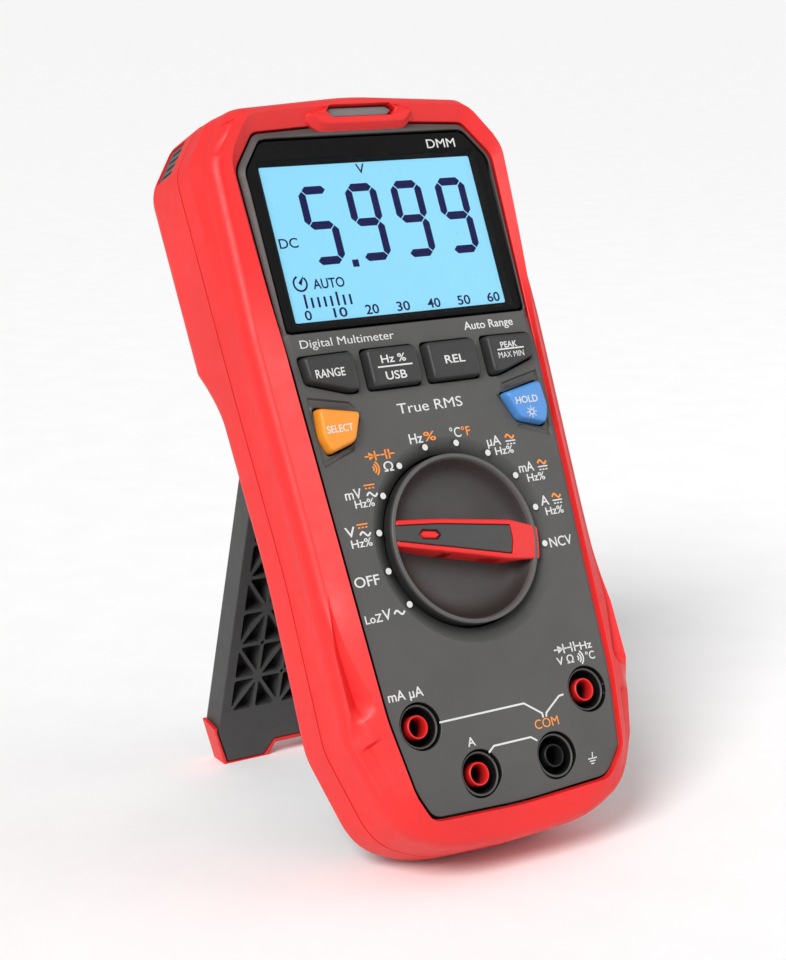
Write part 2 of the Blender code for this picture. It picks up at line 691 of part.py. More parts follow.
def dial(frame):
    turn = FIRST_DETENT - REST_DETENT * DETENT_STEP - 90
    axis = empty("dial_axis", frame, place(0, 0, 0), turn_y=-turn)

    bm = bmesh.new()
    under = CUP_FLOOR + 0.5
    profile = [
        (SHAFT, BOARD_TOP + 0.7), (SHAFT, under), (DIAL_RING - 0.2, under), (DIAL_RING, RING_TOP - 0.4),
        (DIAL_RING - 0.4, RING_TOP), (DIAL_DISH, RING_TOP - 0.3), (17.6, -2.2), (14.5, DISH_FLOOR + 0.9),
        (10.0, DISH_FLOOR),
    ]
    turned(bm, profile, 32)
    knob = piece("dial_knob", bm, "shell_grey", axis)
    bm = bmesh.new()
    prism(bm, bar_outline(-0.3 - GAP, TAIL + GAP), DISH_FLOOR - 0.6, CUT)
    boolean(knob, "grip_seat", "DIFFERENCE", bm)

    bm = bmesh.new()
    made = loft(bm, [
        ring(bar_outline(-0.3, DIAL_RING - 0.5), DISH_FLOOR - 0.3),
        ring(bar_outline(-0.1, DIAL_RING - 0.3), GAP),
        ring(bar_outline(0.0, TAIL), GAP + 0.1),
        ring(bar_outline(0.0, TAIL), lambda v: bar_top(v) - 0.3),
        ring(bar_outline(0.4, TAIL), bar_top),
    ])
    cap(bm, made[0])
    ladder_cap(bm, made[-1])
    grip = piece("dial_grip", bm, "soft_red", axis)
    bm = bmesh.new()
    layer(bm, insert_outline(-GAP), lambda v: bar_top(v) - 1.5, lambda v: bar_top(v) + CUT)
    boolean(grip, "insert_seat", "DIFFERENCE", bm)

    bm = bmesh.new()
    layer(bm, insert_outline(0.0), lambda v: bar_top(v) - 1.2, lambda v: bar_top(v) + 0.05)
    insert = piece("dial_insert", bm, "shell_grey", axis)
    bm = bmesh.new()
    prism(bm, pointer_outline(GAP), BAR_TOP - 0.9, BAR_TOP + CUT)
    boolean(insert, "pointer_seat", "DIFFERENCE", bm)
    bm = bmesh.new()
    prism(bm, pointer_outline(0.0), BAR_TOP - 0.6, BAR_TOP)
    piece("dial_pointer", bm, "soft_red", axis)

    bm = bmesh.new()
    inner = SHAFT + GAP
    profile = [(inner, ROTOR_TOP), (16.0, ROTOR_TOP), (16.0, ROTOR_LOW), (inner, ROTOR_LOW)]
    turned(bm, profile, 28, closed=True)
    rotor = piece("dial_rotor", bm, "white_plastic", axis)
    bm = bmesh.new()
    turned(bm, [(1.3, ROTOR_TOP + CUT), (1.3, ROTOR_LOW - CUT)], 12, 0, BALL_PATH)
    boolean(rotor, "ball_seat", "DIFFERENCE", bm)

    bm = bmesh.new()
    middle = Matrix.Translation(place(0, BALL_PATH, ROTOR_TOP - 0.7))
    bmesh.ops.create_icosphere(bm, subdivisions=2, radius=1.0 * MM, matrix=middle)
    piece("detent_ball", bm, "steel", axis)

    for name, material, near, far, thick in (
        ("detent_spring", "steel", 10.0, 15.5, 0.4),
        ("contact_wiper", "brass", inner, 9.2, 0.5),
    ):
        bm = bmesh.new()
        top = ROTOR_LOW - GAP
        turned(bm, [(near, top), (far, top), (far, top - thick), (near, top - thick)], 24, closed=True)
        piece(name, bm, material, axis)


def bar_top(v):
    """The finger bar's top: level in the middle, falling to both ends."""
    if v > 0:
        return blend(BAR_TOP, BAR_END, (v - 7) / 12.5)
    return blend(BAR_TOP, BAR_END, (-v - 12.5) / 8)


def layer(bm, outline, low, high):
    """A mirrored outline given two depths that follow v."""
    bottom, top = loft(bm, [ring(outline, low), ring(outline, high)])
    ladder_cap(bm, bottom)
    ladder_cap(bm, top)


def bar_outline(inset, tail):
    """The finger bar, clockwise: narrow at the pointing end, shouldered at the tail."""
    half = [(0, 19.3, 1.5), (3.1, 19.2, 0.8), (3.8, 9, 2), (4.8, -12, 1.5), (4.0, -tail + 0.2, 0.6),
            (0, -tail, 1.5)]
    return rounded(closed_outline(half), inset=inset)


def insert_outline(inset):
    half = [(0, 18.8, 1), (1.7, 18.5, 0.3), (2.5, 9, 1.5), (3.4, -11.9, 0.5), (0, -12.4, 1)]
    return rounded(closed_outline(half), inset=inset)


def pointer_outline(margin):
    half, low, high = 1.1 + margin, 7.6 - margin, 13.4 + margin
    return [(0, high), (half, high - 1), (half, low + 1), (0, low), (-half, low + 1), (-half, high - 1)]


# Jacks

def jacks(frame):
    for name, x, v in JACKS:
        bm = bmesh.new()
        profile = [(2.1, -0.9), (2.9, -0.9), (3.1, -5.0), (4.7, -5.0), (4.7, -19.5), (2.8, -19.5),
                   (2.8, -4.0), (2.1, -4.0)]
        turned(bm, profile, 16, x, v, closed=True)
        material = "gloss_black" if name == "common" else "soft_red"
        piece(f"jack_collar_{name}", bm, material, frame)
        bm = bmesh.new()
        profile = [(2.05, -4.3), (2.5, -4.3), (2.5, -22.0), (1.2, -22.0), (1.2, -21.0), (2.05, -20.4)]
        turned(bm, profile, 12, x, v, closed=True)
        piece(f"jack_socket_{name}", bm, "brass", frame)


# Electronics

def board(frame):
    bm = bmesh.new()
    outline = rounded(closed_outline(CASE_HALF), points=2, inset=BOARD_INSET)
    prism(bm, outline, BOARD_LOW, BOARD_TOP)
    pcb = piece("main_board", bm, "board_green", frame)
    bm = bmesh.new()
    for _, x, v in JACKS:
        turned(bm, [(JACK_RING + 0.6, BOARD_LOW - CUT), (JACK_RING + 0.6, BOARD_TOP + CUT)], 16, x, v)
    for x, v in SCREWS:
        turned(bm, [(BOSS + 0.6, BOARD_LOW - CUT), (BOSS + 0.6, BOARD_TOP + CUT)], 12, x, v)
    boolean(pcb, "holes", "DIFFERENCE", bm)

    for name, radius, v in FUSES:
        h = BOARD_LOW - 2.2 - radius
        bm = bmesh.new()
        rod(bm, radius, 16, (-FUSE_HALF, v, h), (FUSE_HALF, v, h))
        piece(name, bm, "ceramic", frame)
        bm = bmesh.new()
        depth = h - radius * 0.4
        box(bm, -FUSE_HALF - 1.4, FUSE_HALF + 1.4, v - radius - 1.2, v + radius + 1.2, depth, BOARD_LOW - GAP)
        holder = piece(f"{name}_clip", bm, "brass", frame)
        bm = bmesh.new()
        box(bm, -FUSE_HALF + 5, FUSE_HALF - 5, v - radius - 4, v + radius + 4, depth - CUT, BOARD_LOW - 1.1)
        boolean(holder, "middle", "DIFFERENCE", bm)
        bm = bmesh.new()
        rod(bm, radius + GAP, 16, (-FUSE_HALF - 5, v, h), (FUSE_HALF + 5, v, h))
        boolean(holder, "seat", "DIFFERENCE", bm)

    bm = bmesh.new()
    turned(bm, [(7.0, BOARD_LOW - GAP), (7.0, BOARD_LOW - 3.5), (6.2, BOARD_LOW - 4.2)], 20, *BUZZER)
    piece("buzzer", bm, "gloss_black", frame)

    bm = bmesh.new()
    box(bm, -8, 8, 103.9, 104.3, -16.5, BOARD_LOW - GAP)
    piece("field_antenna", bm, "brass", frame)


def cells(frame):
    half, low, high = BAY
    middle = (low + high) / 2
    pitch = 2 * half / 4
    for index in range(4):
        x = (index - 1.5) * pitch * 0.96
        flip = 1 if index % 2 else -1
        start, end = middle - flip * CELL_LENGTH / 2, middle + flip * CELL_LENGTH / 2
        bm = bmesh.new()
        rod(bm, CELL_RADIUS, 16, (x, start, CELL_H), (x, end - flip, CELL_H))
        cell = piece(f"battery_cell_{index + 1}", bm, "cell_jacket", frame)
        bm = bmesh.new()
        rod(bm, 1.9, 10, (x, end - flip * 3, CELL_H), (x, end, CELL_H))
        boolean(cell, "button", "UNION", bm)
    for name, v in (("battery_contact_low", low + 0.3), ("battery_contact_high", high - 0.8)):
        bm = bmesh.new()
        box(bm, -half + 1, half - 1, v, v + 0.5, CELL_H - 4.5, BAY_FLOOR - GAP)
        piece(name, bm, "steel", frame)


# Stand

def stand(frame):
    axis = empty("stand_axis", frame, place(0, HINGE_V, HINGE_H), turn_x=STAND_OPEN)
    foot = -STAND_LENGTH
    sole = foot + STAND_EDGE
    right = [(STAND_HALF, 0.0), (STAND_HALF, foot + 11.5), (STAND_HALF - 4.4, sole), (9.0, sole),
             (6.6, foot + 5.8)]
    bm = bmesh.new()
    prism(bm, right + mirrored(right), -STAND_THICK, STAND_THICK)
    plate = piece("tilt_stand", bm, "shell_grey", axis)

    bm = bmesh.new()
    rod(bm, STAND_THICK, 14, (-STAND_HALF, 0, 0), (STAND_HALF, 0, 0))
    boolean(plate, "barrel", "UNION", bm)

    bm = bmesh.new()
    rib_pockets(bm)
    boolean(plate, "pockets", "DIFFERENCE", bm)

    bm = bmesh.new()
    for side in (-1, 1):
        inner_end, outer_end = side * (STAND_HALF - 7), side * (STAND_HALF + CUT)
        rod(bm, PIN_RADIUS + GAP, 12, (inner_end, 0, 0), (outer_end, 0, 0))
    boolean(plate, "pin_holes", "DIFFERENCE", bm)

    outer = [(STAND_HALF + STAND_EDGE, foot + 12.6), (STAND_HALF - 4.2, foot), (8.2, foot), (5.9, foot + 4.3)]
    inner = [(STAND_HALF + GAP, foot + 12.6), (STAND_HALF + GAP, foot + 11.45),
             (STAND_HALF - 4.2, sole - GAP), (8.8, sole - GAP), (6.4, foot + 5.5)]
    strip = outer + mirrored(outer) + [(-x, v) for x, v in inner] + list(reversed(inner))
    bm = bmesh.new()
    rings = []
    for h in (-STAND_THICK, STAND_THICK):
        rings.append([place(x, v + foot_slant(v, h), h) for x, v in strip])
    first, last = loft(bm, rings)
    cap(bm, first)
    cap(bm, last)
    piece("stand_tip", bm, "soft_red", axis)

    for side, name in ((-1, "hinge_pin_left"), (1, "hinge_pin_right")):
        bm = bmesh.new()
        rod(bm, PIN_RADIUS, 12, (side * 18, HINGE_V, HINGE_H), (side * 29, HINGE_V, HINGE_H))
        piece(name, bm, "steel", frame)


def foot_slant(v, h):
    """Slants the sole so that it lies flat on the floor when the stand is open."""
    return h * math.tan(math.radians(STAND_TILT)) if v < 0.1 - STAND_LENGTH else 0.0


def rib_pockets(bm):
    """Triangular pockets whose ribs cross and meet in stars."""
    low, high = 17 - STAND_LENGTH, -5.0
    width = 1.1 * RIB_PITCH
    rows = int((high - low) / RIB_PITCH)
    for row in range(rows):
        for column in (-2, -1, 0, 1):
            x, v = column * width, high - (row + 1) * RIB_PITCH
            corners = [(x, v), (x + width, v), (x + width, v + RIB_PITCH), (x, v + RIB_PITCH)]
            split = (row + column) % 2
            for start in (split, split + 2):
                triangle = [corners[(start + k) % 4] for k in range(3)]
                triangle = [(px, pv, 0.0) for px, pv in reversed(triangle)]
                inner = [(px, pv) for px, pv, _ in offset_corners(triangle, RIB)]
                prism(bm, inner, -STAND_THICK + 1.8, STAND_THICK + CUT)


def stand_on_floor(frame):
    """Moves the frame so that the lowest point is at z = 0, with the origin under the middle."""
    bpy.context.view_layer.update()
    graph = bpy.context.evaluated_depsgraph_get()
    corners = []
    for found in bpy.context.scene.objects:
        if found.type == "MESH" and not found.hide_render:
            whole = found.evaluated_get(graph)
            corners += [whole.matrix_world @ vertex.co for vertex in whole.data.vertices]
    low = [min(point[axis] for point in corners) for axis in range(3)]
    high = [max(point[axis] for point in corners) for axis in range(3)]
    frame.location = (-(low[0] + high[0]) / 2, -(low[1] + high[1]) / 2, -low[2])


def main():
    for found in list(bpy.data.objects):
        bpy.data.objects.remove(found, do_unlink=True)
    frame = empty("case_frame", None, (0, 0, 0), turn_x=-LEAN)
    front_shell(frame)
    front_overmould(frame)
    rear_shell(frame)
    rear_overmould(frame)
    battery_cover(frame)
    display(frame)
    keys(frame)
    dial(frame)
    jacks(frame)
    board(frame)
    cells(frame)
    stand(frame)
    stand_on_floor(frame)


main()
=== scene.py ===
"""Looks of a handheld digital multimeter on its tilt stand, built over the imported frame."""

import json
import math

import bmesh
import bpy
from mathutils import Matrix, Vector
from mathutils.geometry import delaunay_2d_cdt


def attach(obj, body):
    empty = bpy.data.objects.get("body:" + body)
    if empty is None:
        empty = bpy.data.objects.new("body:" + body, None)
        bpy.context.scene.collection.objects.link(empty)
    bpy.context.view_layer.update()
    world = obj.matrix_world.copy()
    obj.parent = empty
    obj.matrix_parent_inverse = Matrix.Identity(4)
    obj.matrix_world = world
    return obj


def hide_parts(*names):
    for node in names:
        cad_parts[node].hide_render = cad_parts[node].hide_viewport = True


# Sizes are in mm in the face frame: x right, v up the face, h out of it, from the dial's centre.
MM = 0.001
LEAN = 25.0  # the face leans back this far from upright
STAND_TILT = 14.8  # the open stand leans this far the other way
STAND_LENGTH = 102.96
GAP = 0.55  # round the panel and between the two overmoulds
PANEL_DEPTH = 5.0
SHOULDER = -5.3  # the front shell's shoulder, under the rim
CREASE = -55.5  # the panel slopes back below this v
CREASE_SLOPE = 0.32
PARTING = -16.1
SEAM_MIDDLE = PARTING - GAP / 2
SEAM = 0.22  # half the height of the dark line between the two overmoulds
DRAFT = 0.6
SKIN = 2.2  # thickness of an overmould
WALL_END_HUMP = -30.0  # the side wall ends and the rear chamfer begins, behind the display
WALL_END_WAIST = -24.3  # beside the stand
WALL_END_FOOT = -25.3  # and at the lower end
BACK_HUMP = -41.0
BACK_WAIST = -34.0
STEP_TOP = 53.5
STEP_LOW = 39.0
CHAMFER = 9.5

# Right halves of mirrored outlines, from the top: x, v and the length over which a corner is rounded
CASE_HALF = [
    (0, 112.4, 6), (34.8, 110.3, 3), (43.6, 98.6, 3.5), (42.3, 54, 3), (41.8, 41, 3),
    (40.0, 0, 8), (40.5, -41, 3), (33.5, -64, 7), (20, -70, 6), (0, -71, 6),
]
CREST_HALF = [
    (0, 112.55, 6), (33.4, 110.55, 3), (42.0, 98.0, 3.5), (42.5, 54, 3), (42.1, 41, 3), (40.7, 0, 8),
    (40.8, -41, 3),
] + CASE_HALF[-3:]
PANEL_HALF = [
    (0, 104.7, 6), (30.4, 103.2, 1.5), (37.4, 94.2, 2), (36.1, 54, 3), (35.7, 41, 3),
    (34.1, 0, 8), (32.6, -38, 3), (29.9, -55.5, 1.5), (25.7, -62.0, 2.5), (0, -63.0, 6),
]
LENS_HALF = [(0, 100.5, 3), (29.2, 100.4, 1.5), (34.7, 93.2, 1.5), (34.0, 54, 1.2), (0, 54, 3)]
VIEW = (31.8, 54.9, 95.8)  # half width, lowest and highest v of the opening over the display
SHOWN = (30.6, 56.2, 94.5)  # the lit area
LCD_TOP = -1.6

KEY_LOW = -7.9
KEY_TOP = 2.4
KEY_CLEAR = 0.35
KEY_OUTER = [(19.2, 47.7), (33.2, 47.5), (32.7, 41.4), (21.9, 38.2), (19.2, 38.2)]
KEY_INNER = [(1.4, 47.7), (15.9, 47.7), (15.9, 38.2), (1.4, 38.2)]
KEY_LOWER = [(20.9, 33.2), (32.3, 35.3), (32.8, 28.2), (31.2, 24.2), (24.0, 26.2)]
GROOVE = [(33.0, 37.6), (22.5, 35.5), (20.4, 33.0), (24.3, 24.9), (32.6, 22.1)]

DIAL_HOLE = 20.9
DIAL_CONE = 25.0
DIAL_TURN = 78.75  # the pointer stands this far anticlockwise from straight up

JACKS = {"milliamp": (-24.4, -40.7), "amp": (-11.0, -54.2), "common": (11.0, -54.2), "volt": (24.4, -40.7)}
JACK_HOLE = 5.55


def joint_point(name):
    return next(joint["pos_m"] for joint in frame["joints"] if joint["name"] == name)


def leaning(point, degrees):
    """The matrix from (x, v, h) in mm to the frame, for a plane that leans back by some degrees."""
    sine, cosine = math.sin(math.radians(degrees)), math.cos(math.radians(degrees))
    turn = Matrix(((1, 0, 0), (0, sine, -cosine), (0, cosine, sine))).to_4x4()
    return Matrix.Translation(point) @ turn @ Matrix.Scale(MM, 4)


# Outlines

def closed_outline(half):
    left = [(-x, v, t) for x, v, t in reversed(half) if x > 0]
    return list(half) + left


def offset_corners(corners, inset):
    """Moves every edge of a clockwise outline inwards and returns where the edges meet again."""
    moved = []
    for i, (x, v, t) in enumerate(corners):
        here = Vector((x, v))
        before = (here - Vector(corners[i - 1][:2])).normalized()
        after = (Vector(corners[(i + 1) % len(corners)][:2]) - here).normalized()
        inward_before = Vector((before.y, -before.x))
        inward_after = Vector((after.y, -after.x))
        mitre = (inward_before + inward_after).normalized()
        point = here + mitre * (inset / mitre.dot(inward_before))
        moved.append((point.x, point.y, t))
    return moved


def edge_splits(corners, step):
    """How many parts each edge of the outline is split into."""
    ends = corners[1:] + corners[:1]
    return [max(1, round(math.dist(a[:2], b[:2]) / step)) for a, b in zip(corners, ends)]


def rounded(corners, inset=0.0, points=6, splits=None):
    """Rounds each corner over its length t and splits the edges between."""
    corners = offset_corners(corners, inset)
    splits = splits or [1] * len(corners)
    outline, spans = [], []
    for i, (x, v, t) in enumerate(corners):
        here = Vector((x, v))
        back = Vector(corners[i - 1][:2]) - here
        ahead = Vector(corners[(i + 1) % len(corners)][:2]) - here
        start = here + back.normalized() * min(t, 0.45 * back.length)
        end = here + ahead.normalized() * min(t, 0.45 * ahead.length)
        spans.append((start, here, end))
    for i, (start, here, end) in enumerate(spans):
        for k in range(points):
            u = k / (points - 1)
            outline.append(start * (1 - u) ** 2 + here * 2 * u * (1 - u) + end * u * u)
        following = spans[(i + 1) % len(spans)][0]
        for k in range(1, splits[i]):
            outline.append(end.lerp(following, k / splits[i]))
    return [(point.x, point.y) for point in outline]


def mirrored(outline):
    return [(-x, v) for x, v in reversed(outline)]


def soft_corners(outline, length):
    return [(x, v, length) for x, v in outline]


def circle(radius, sides=96, x=0.0, v=0.0):
    angles = [2 * math.pi * k / sides for k in range(sides)]
    return [(x + radius * math.cos(a), v + radius * math.sin(a)) for a in angles]


def band_outline(points, half):
    """The closed outline of a line of a given half width."""
    sides = [[], []]
    for i, point in enumerate(points):
        here = Vector(point)
        before = here - Vector(points[max(i - 1, 0)])
        after = Vector(points[min(i + 1, len(points) - 1)]) - here
        along = (before.normalized() + after.normalized()).normalized()
        across = Vector((-along.y, along.x))
        reach = after if after.length > 0 else before
        share = abs(reach.normalized().dot(along))
        end = along * half * ((i == len(points) - 1) - (i == 0))
        for side, sign in zip(sides, (1, -1)):
            moved = here + across * sign * half / max(share, 0.4) + end
            side.append((moved.x, moved.y))
    return sides[0] + sides[1][::-1]


def inside(outline, x, v):
    found = False
    for (x0, v0), (x1, v1) in zip(outline, outline[1:] + outline[:1]):
        if (v0 > v) != (v1 > v) and x < x0 + (v - v0) * (x1 - x0) / (v1 - v0):
            found = not found
    return found


def share_of(value, start, end):
    """How far a value has come from start to end, held between 0 and 1."""
    return min(max((value - start) / (end - start), 0.0), 1.0)


def blend(low, high, share):
    return low + (high - low) * min(max(share, 0.0), 1.0)


def read_knots(knots, v):
    """Reads straight lines through knots of (v, value), which start with the highest v."""
    for (upper, first), (lower, last) in zip(knots, knots[1:]):
        if v > lower:
            return blend(first, last, (upper - v) / (upper - lower))
    return knots[-1][1]


def panel_h(v):
    return -max(CREASE - v, 0.0) * CREASE_SLOPE


def shoulder_h(v):
    return SHOULDER + 0.4 * panel_h(v)


def step(v):
    """0 on the waist, 1 on the hump, and a curve that steepens towards the hump between them."""
    return share_of(v, STEP_LOW, STEP_TOP) ** 1.6


def wall_end(v):
    if v > STEP_LOW:
        return blend(WALL_END_WAIST, WALL_END_HUMP, step(v))
    return blend(WALL_END_WAIST, WALL_END_FOOT, share_of(v, 10, -40))


def back_h(v):
    return blend(BACK_WAIST, BACK_HUMP, step(v))


# Mesh tools

def depth_at(depth, v):
    """Reads a depth that is a number or a function of v."""
    return depth(v) if callable(depth) else depth


def at(outline, depth):
    return [(x, v, depth_at(depth, v)) for x, v in outline]


def loft(rings, closed=False, capped=False, bm=None):
    """A skin through rings of points, which is joined end to end or capped at both ends."""
    bm = bmesh.new() if bm is None else bm
    made = [[bm.verts.new(point) for point in points] for points in rings]
    pairs = list(zip(made, made[1:]))
    if closed:
        pairs.append((made[-1], made[0]))
    for first, second in pairs:
        for i in range(len(first)):
            j = (i + 1) % len(first)
            bm.faces.new((first[i], first[j], second[j], second[i]))
    if capped:
        bm.faces.new(made[0])
        bm.faces.new(made[-1])
    return bm


def turned(profile, sides=64, closed=True):
    """Turns a profile of (radius, h) about the axis along h."""
    rings = [at(circle(radius, sides), h) for radius, h in profile]
    return loft(rings, closed=closed, capped=not closed)


def within(outline, holes=()):
    """Tells whether a point is inside an outline and outside its holes."""
    return lambda x, v: inside(outline, x, v) and not any(inside(hole, x, v) for hole in holes)


def slab(loops, keep, lower, lines=(), bm=None):
    """A solid where keep(x, v) holds, whose top runs through the loops and open lines of (x, v, h)."""
    bm = bmesh.new() if bm is None else bm
    points, edges = [], []
    for loop, is_closed in [(loop, True) for loop in loops] + [(line, False) for line in lines]:
        first = len(points)
        points += loop
        edges += [(first + k, first + k + 1) for k in range(len(loop) - 1)]
        if is_closed:
            edges.append((len(points) - 1, first))
    flat = [Vector(point[:2]) for point in points]
    found, _, triangles, origins, _, _ = delaunay_2d_cdt(flat, edges, [], 0, 1e-6)
    kept = [t for t in triangles if keep(*(sum((found[k] for k in t), Vector((0, 0))) / 3))]
    top, bottom = {}, {}
    for index in sorted({k for triangle in kept for k in triangle}):
        x, v = found[index]
        origin = origins[index]
        h = points[origin[0]][2] if origin else nearest_height(points, found[index])
        top[index] = bm.verts.new((x, v, h))
        bottom[index] = bm.verts.new((x, v, depth_at(lower, v)))
    for triangle in kept:
        bm.faces.new([top[k] for k in triangle])
        bm.faces.new([bottom[k] for k in reversed(triangle)])
    for a, b in open_sides(kept):
        bm.faces.new((top[b], top[a], bottom[a], bottom[b]))
    return bm


def open_sides(triangles):
    """The sides that belong to one triangle only."""
    sides = dict.fromkeys(side for t in triangles for side in zip(t, t[1:] + t[:1]))
    return [(a, b) for a, b in sides if (b, a) not in sides]


def nearest_height(points, place):
    return min(points, key=lambda point: (point[0] - place.x) ** 2 + (point[1] - place.y) ** 2)[2]


def trim_to_floor(bm, matrix):
    """Cuts off what lies below the floor and closes the cut."""
    bmesh.ops.recalc_face_normals(bm, faces=bm.faces)
    back = matrix.inverted()
    floor = back @ Vector((0, 0, 0))
    up = (back.to_3x3() @ Vector((0, 0, 1))).normalized()
    everything = bm.verts[:] + bm.edges[:] + bm.faces[:]
    bmesh.ops.bisect_plane(bm, geom=everything, plane_co=floor, plane_no=up, clear_inner=True)
    bmesh.ops.holes_fill(bm, edges=[edge for edge in bm.edges if edge.is_boundary], sides=0)


MERGE = 2e-4  # points closer than this become one


def add_object(name, data):
    obj = bpy.data.objects.new(name, data)
    bpy.context.scene.collection.objects.link(obj)
    return obj


def new_object(name, bm, matrix):
    """Makes an object of bm, whose points the matrix moves into the shared frame."""
    bmesh.ops.remove_doubles(bm, verts=bm.verts, dist=MERGE)
    bmesh.ops.recalc_face_normals(bm, faces=bm.faces)
    mesh = bpy.data.meshes.new(name)
    bm.to_mesh(mesh)
    bm.free()
    mesh.transform(matrix)
    if matrix.determinant() < 0:
        mesh.flip_normals()
    return add_object(name, mesh)


def piece(name, bm, matrix, body, slot, replaced=(), material=None, sharp=32.0):
    """Makes a smooth-shaded piece that rides on a body."""
    obj = new_object(name, bm, matrix)
    dress(obj, body, slot, replaced, material, sharp)
    return obj


def dress(obj, body, slot, replaced=(), material=None, sharp=32.0):
    obj.data.materials.append(finishes[material or slot])
    obj.data.shade_smooth()
    obj.data.set_sharp_from_angle(angle=math.radians(sharp))
    normals = obj.modifiers.new("face_weighted_normals", "WEIGHTED_NORMAL")
    normals.keep_sharp = True
    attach(obj, body)
    if replaced:
        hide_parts(*replaced)


def add_painted_shade(obj, matrix, amount, painted_shadow_edges=()):
    """Stores a painted shade amount(radius, h) for each vertex, from 0 for none to 1 for full painted
    shade; points on the edges given get 1, a painted shadow.
    """
    layer = obj.data.attributes.new("painted_shade", "FLOAT", "POINT")
    back = matrix.inverted()
    painted_shadow_points = {(round(x, 2), round(v, 2)) for outline in painted_shadow_edges for x, v in outline}
    for item, vertex in zip(layer.data, obj.data.vertices):
        x, v, h = back @ vertex.co
        in_painted_shadow = (round(x, 2), round(v, 2)) in painted_shadow_points
        item.value = 1.0 if in_painted_shadow else min(max(amount(math.hypot(x, v), h), 0.0), 1.0)


def cut(obj, bm, matrix):
    """Cuts the shape in bm out of an object."""
    cutter = new_object("cutter", bm, matrix)
    modifier = obj.modifiers.new("cut", "BOOLEAN")
    modifier.operation = "DIFFERENCE"
    modifier.solver = "EXACT"
    modifier.object = cutter
    graph = bpy.context.evaluated_depsgraph_get()
    mesh = bpy.data.meshes.new_from_object(obj.evaluated_get(graph))
    obj.modifiers.clear()
    obj.data = mesh
    bpy.data.objects.remove(cutter)


# Materials

CLOUD = 45.0  # scale of the cloudy colour
PANE_ALPHA = 0.02
PAINTED_SHADE_LEFT = 0.05  # the share of a colour that is left where the painted shade is full


def noise(tree, scale, detail=3.0):
    coords = tree.nodes.new("ShaderNodeTexCoord")
    texture = tree.nodes.new("ShaderNodeTexNoise")
    texture.inputs["Scale"].default_value = scale
    texture.inputs["Detail"].default_value = detail
    tree.links.new(coords.outputs["Object"], texture.inputs["Vector"])
    return texture.outputs["Fac"]


def ramp(tree, source, low, high):
    node = tree.nodes.new("ShaderNodeValToRGB")
    node.color_ramp.elements[0].position = 0.35
    node.color_ramp.elements[1].position = 0.65
    node.color_ramp.elements[0].color = (*low, 1)
    node.color_ramp.elements[1].color = (*high, 1)
    tree.links.new(source, node.inputs["Fac"])
    return node.outputs["Color"]


def spread(tree, source, low, high):
    node = tree.nodes.new("ShaderNodeMapRange")
    node.inputs["From Min"].default_value = 0.3
    node.inputs["From Max"].default_value = 0.7
    node.inputs["To Min"].default_value = low
    node.inputs["To Max"].default_value = high
    tree.links.new(source, node.inputs["Value"])
    return node.outputs["Result"]


def darken_by_painted_shade(tree, colour, low):
    """Paints shade into the colour: darkens it towards near black where the mesh's stored painted shade
    rises to 1.
    """
    painted_shade = tree.nodes.new("ShaderNodeAttribute")
    painted_shade.attribute_name = "painted_shade"
    mix = tree.nodes.new("ShaderNodeMix")
    mix.data_type = "RGBA"
    mix.inputs["B"].default_value = (*(channel * PAINTED_SHADE_LEFT for channel in low), 1)
    tree.links.new(painted_shade.outputs["Fac"], mix.inputs["Factor"])
    tree.links.new(colour, mix.inputs["A"])
    return mix.outputs["Result"]


def moulded(name, colour, roughness, mottle=0.06, grain=2600.0, depth=0.12, metal=0.0, gloss=0.5):
    """A moulded surface: cloudy colour with painted shade where the mesh stores it, uneven gloss and a fine
    spark-eroded grain.
    """
    material = bpy.data.materials.new(name)
    material.use_nodes = True
    tree = material.node_tree
    shader = tree.nodes["Principled BSDF"]
    shader.inputs["Metallic"].default_value = metal
    low = [channel * (1 - mottle) for channel in colour]
    high = [channel * (1 + mottle) for channel in colour]
    cloudy = ramp(tree, noise(tree, CLOUD), low, high)
    tree.links.new(darken_by_painted_shade(tree, cloudy, low), shader.inputs["Base Color"])
    shader.inputs["Specular IOR Level"].default_value = gloss
    uneven = spread(tree, noise(tree, CLOUD * 6), roughness * 0.9, roughness * 1.1)
    tree.links.new(uneven, shader.inputs["Roughness"])
    bump = tree.nodes.new("ShaderNodeBump")
    bump.inputs["Strength"].default_value = depth
    bump.inputs["Distance"].default_value = 0.0002
    tree.links.new(noise(tree, grain, 2.0), bump.inputs["Height"])
    tree.links.new(bump.outputs["Normal"], shader.inputs["Normal"])
    return material


def light_up(material):
    """Makes the display shine evenly in sky blue."""
    tree = material.node_tree
    shader = tree.nodes["Principled BSDF"]
    glow = ramp(tree, noise(tree, 12.0), (0.22, 0.6, 0.84), (0.25, 0.63, 0.86))
    tree.links.new(glow, shader.inputs["Emission Color"])
    shader.inputs["Emission Strength"].default_value = 0.45


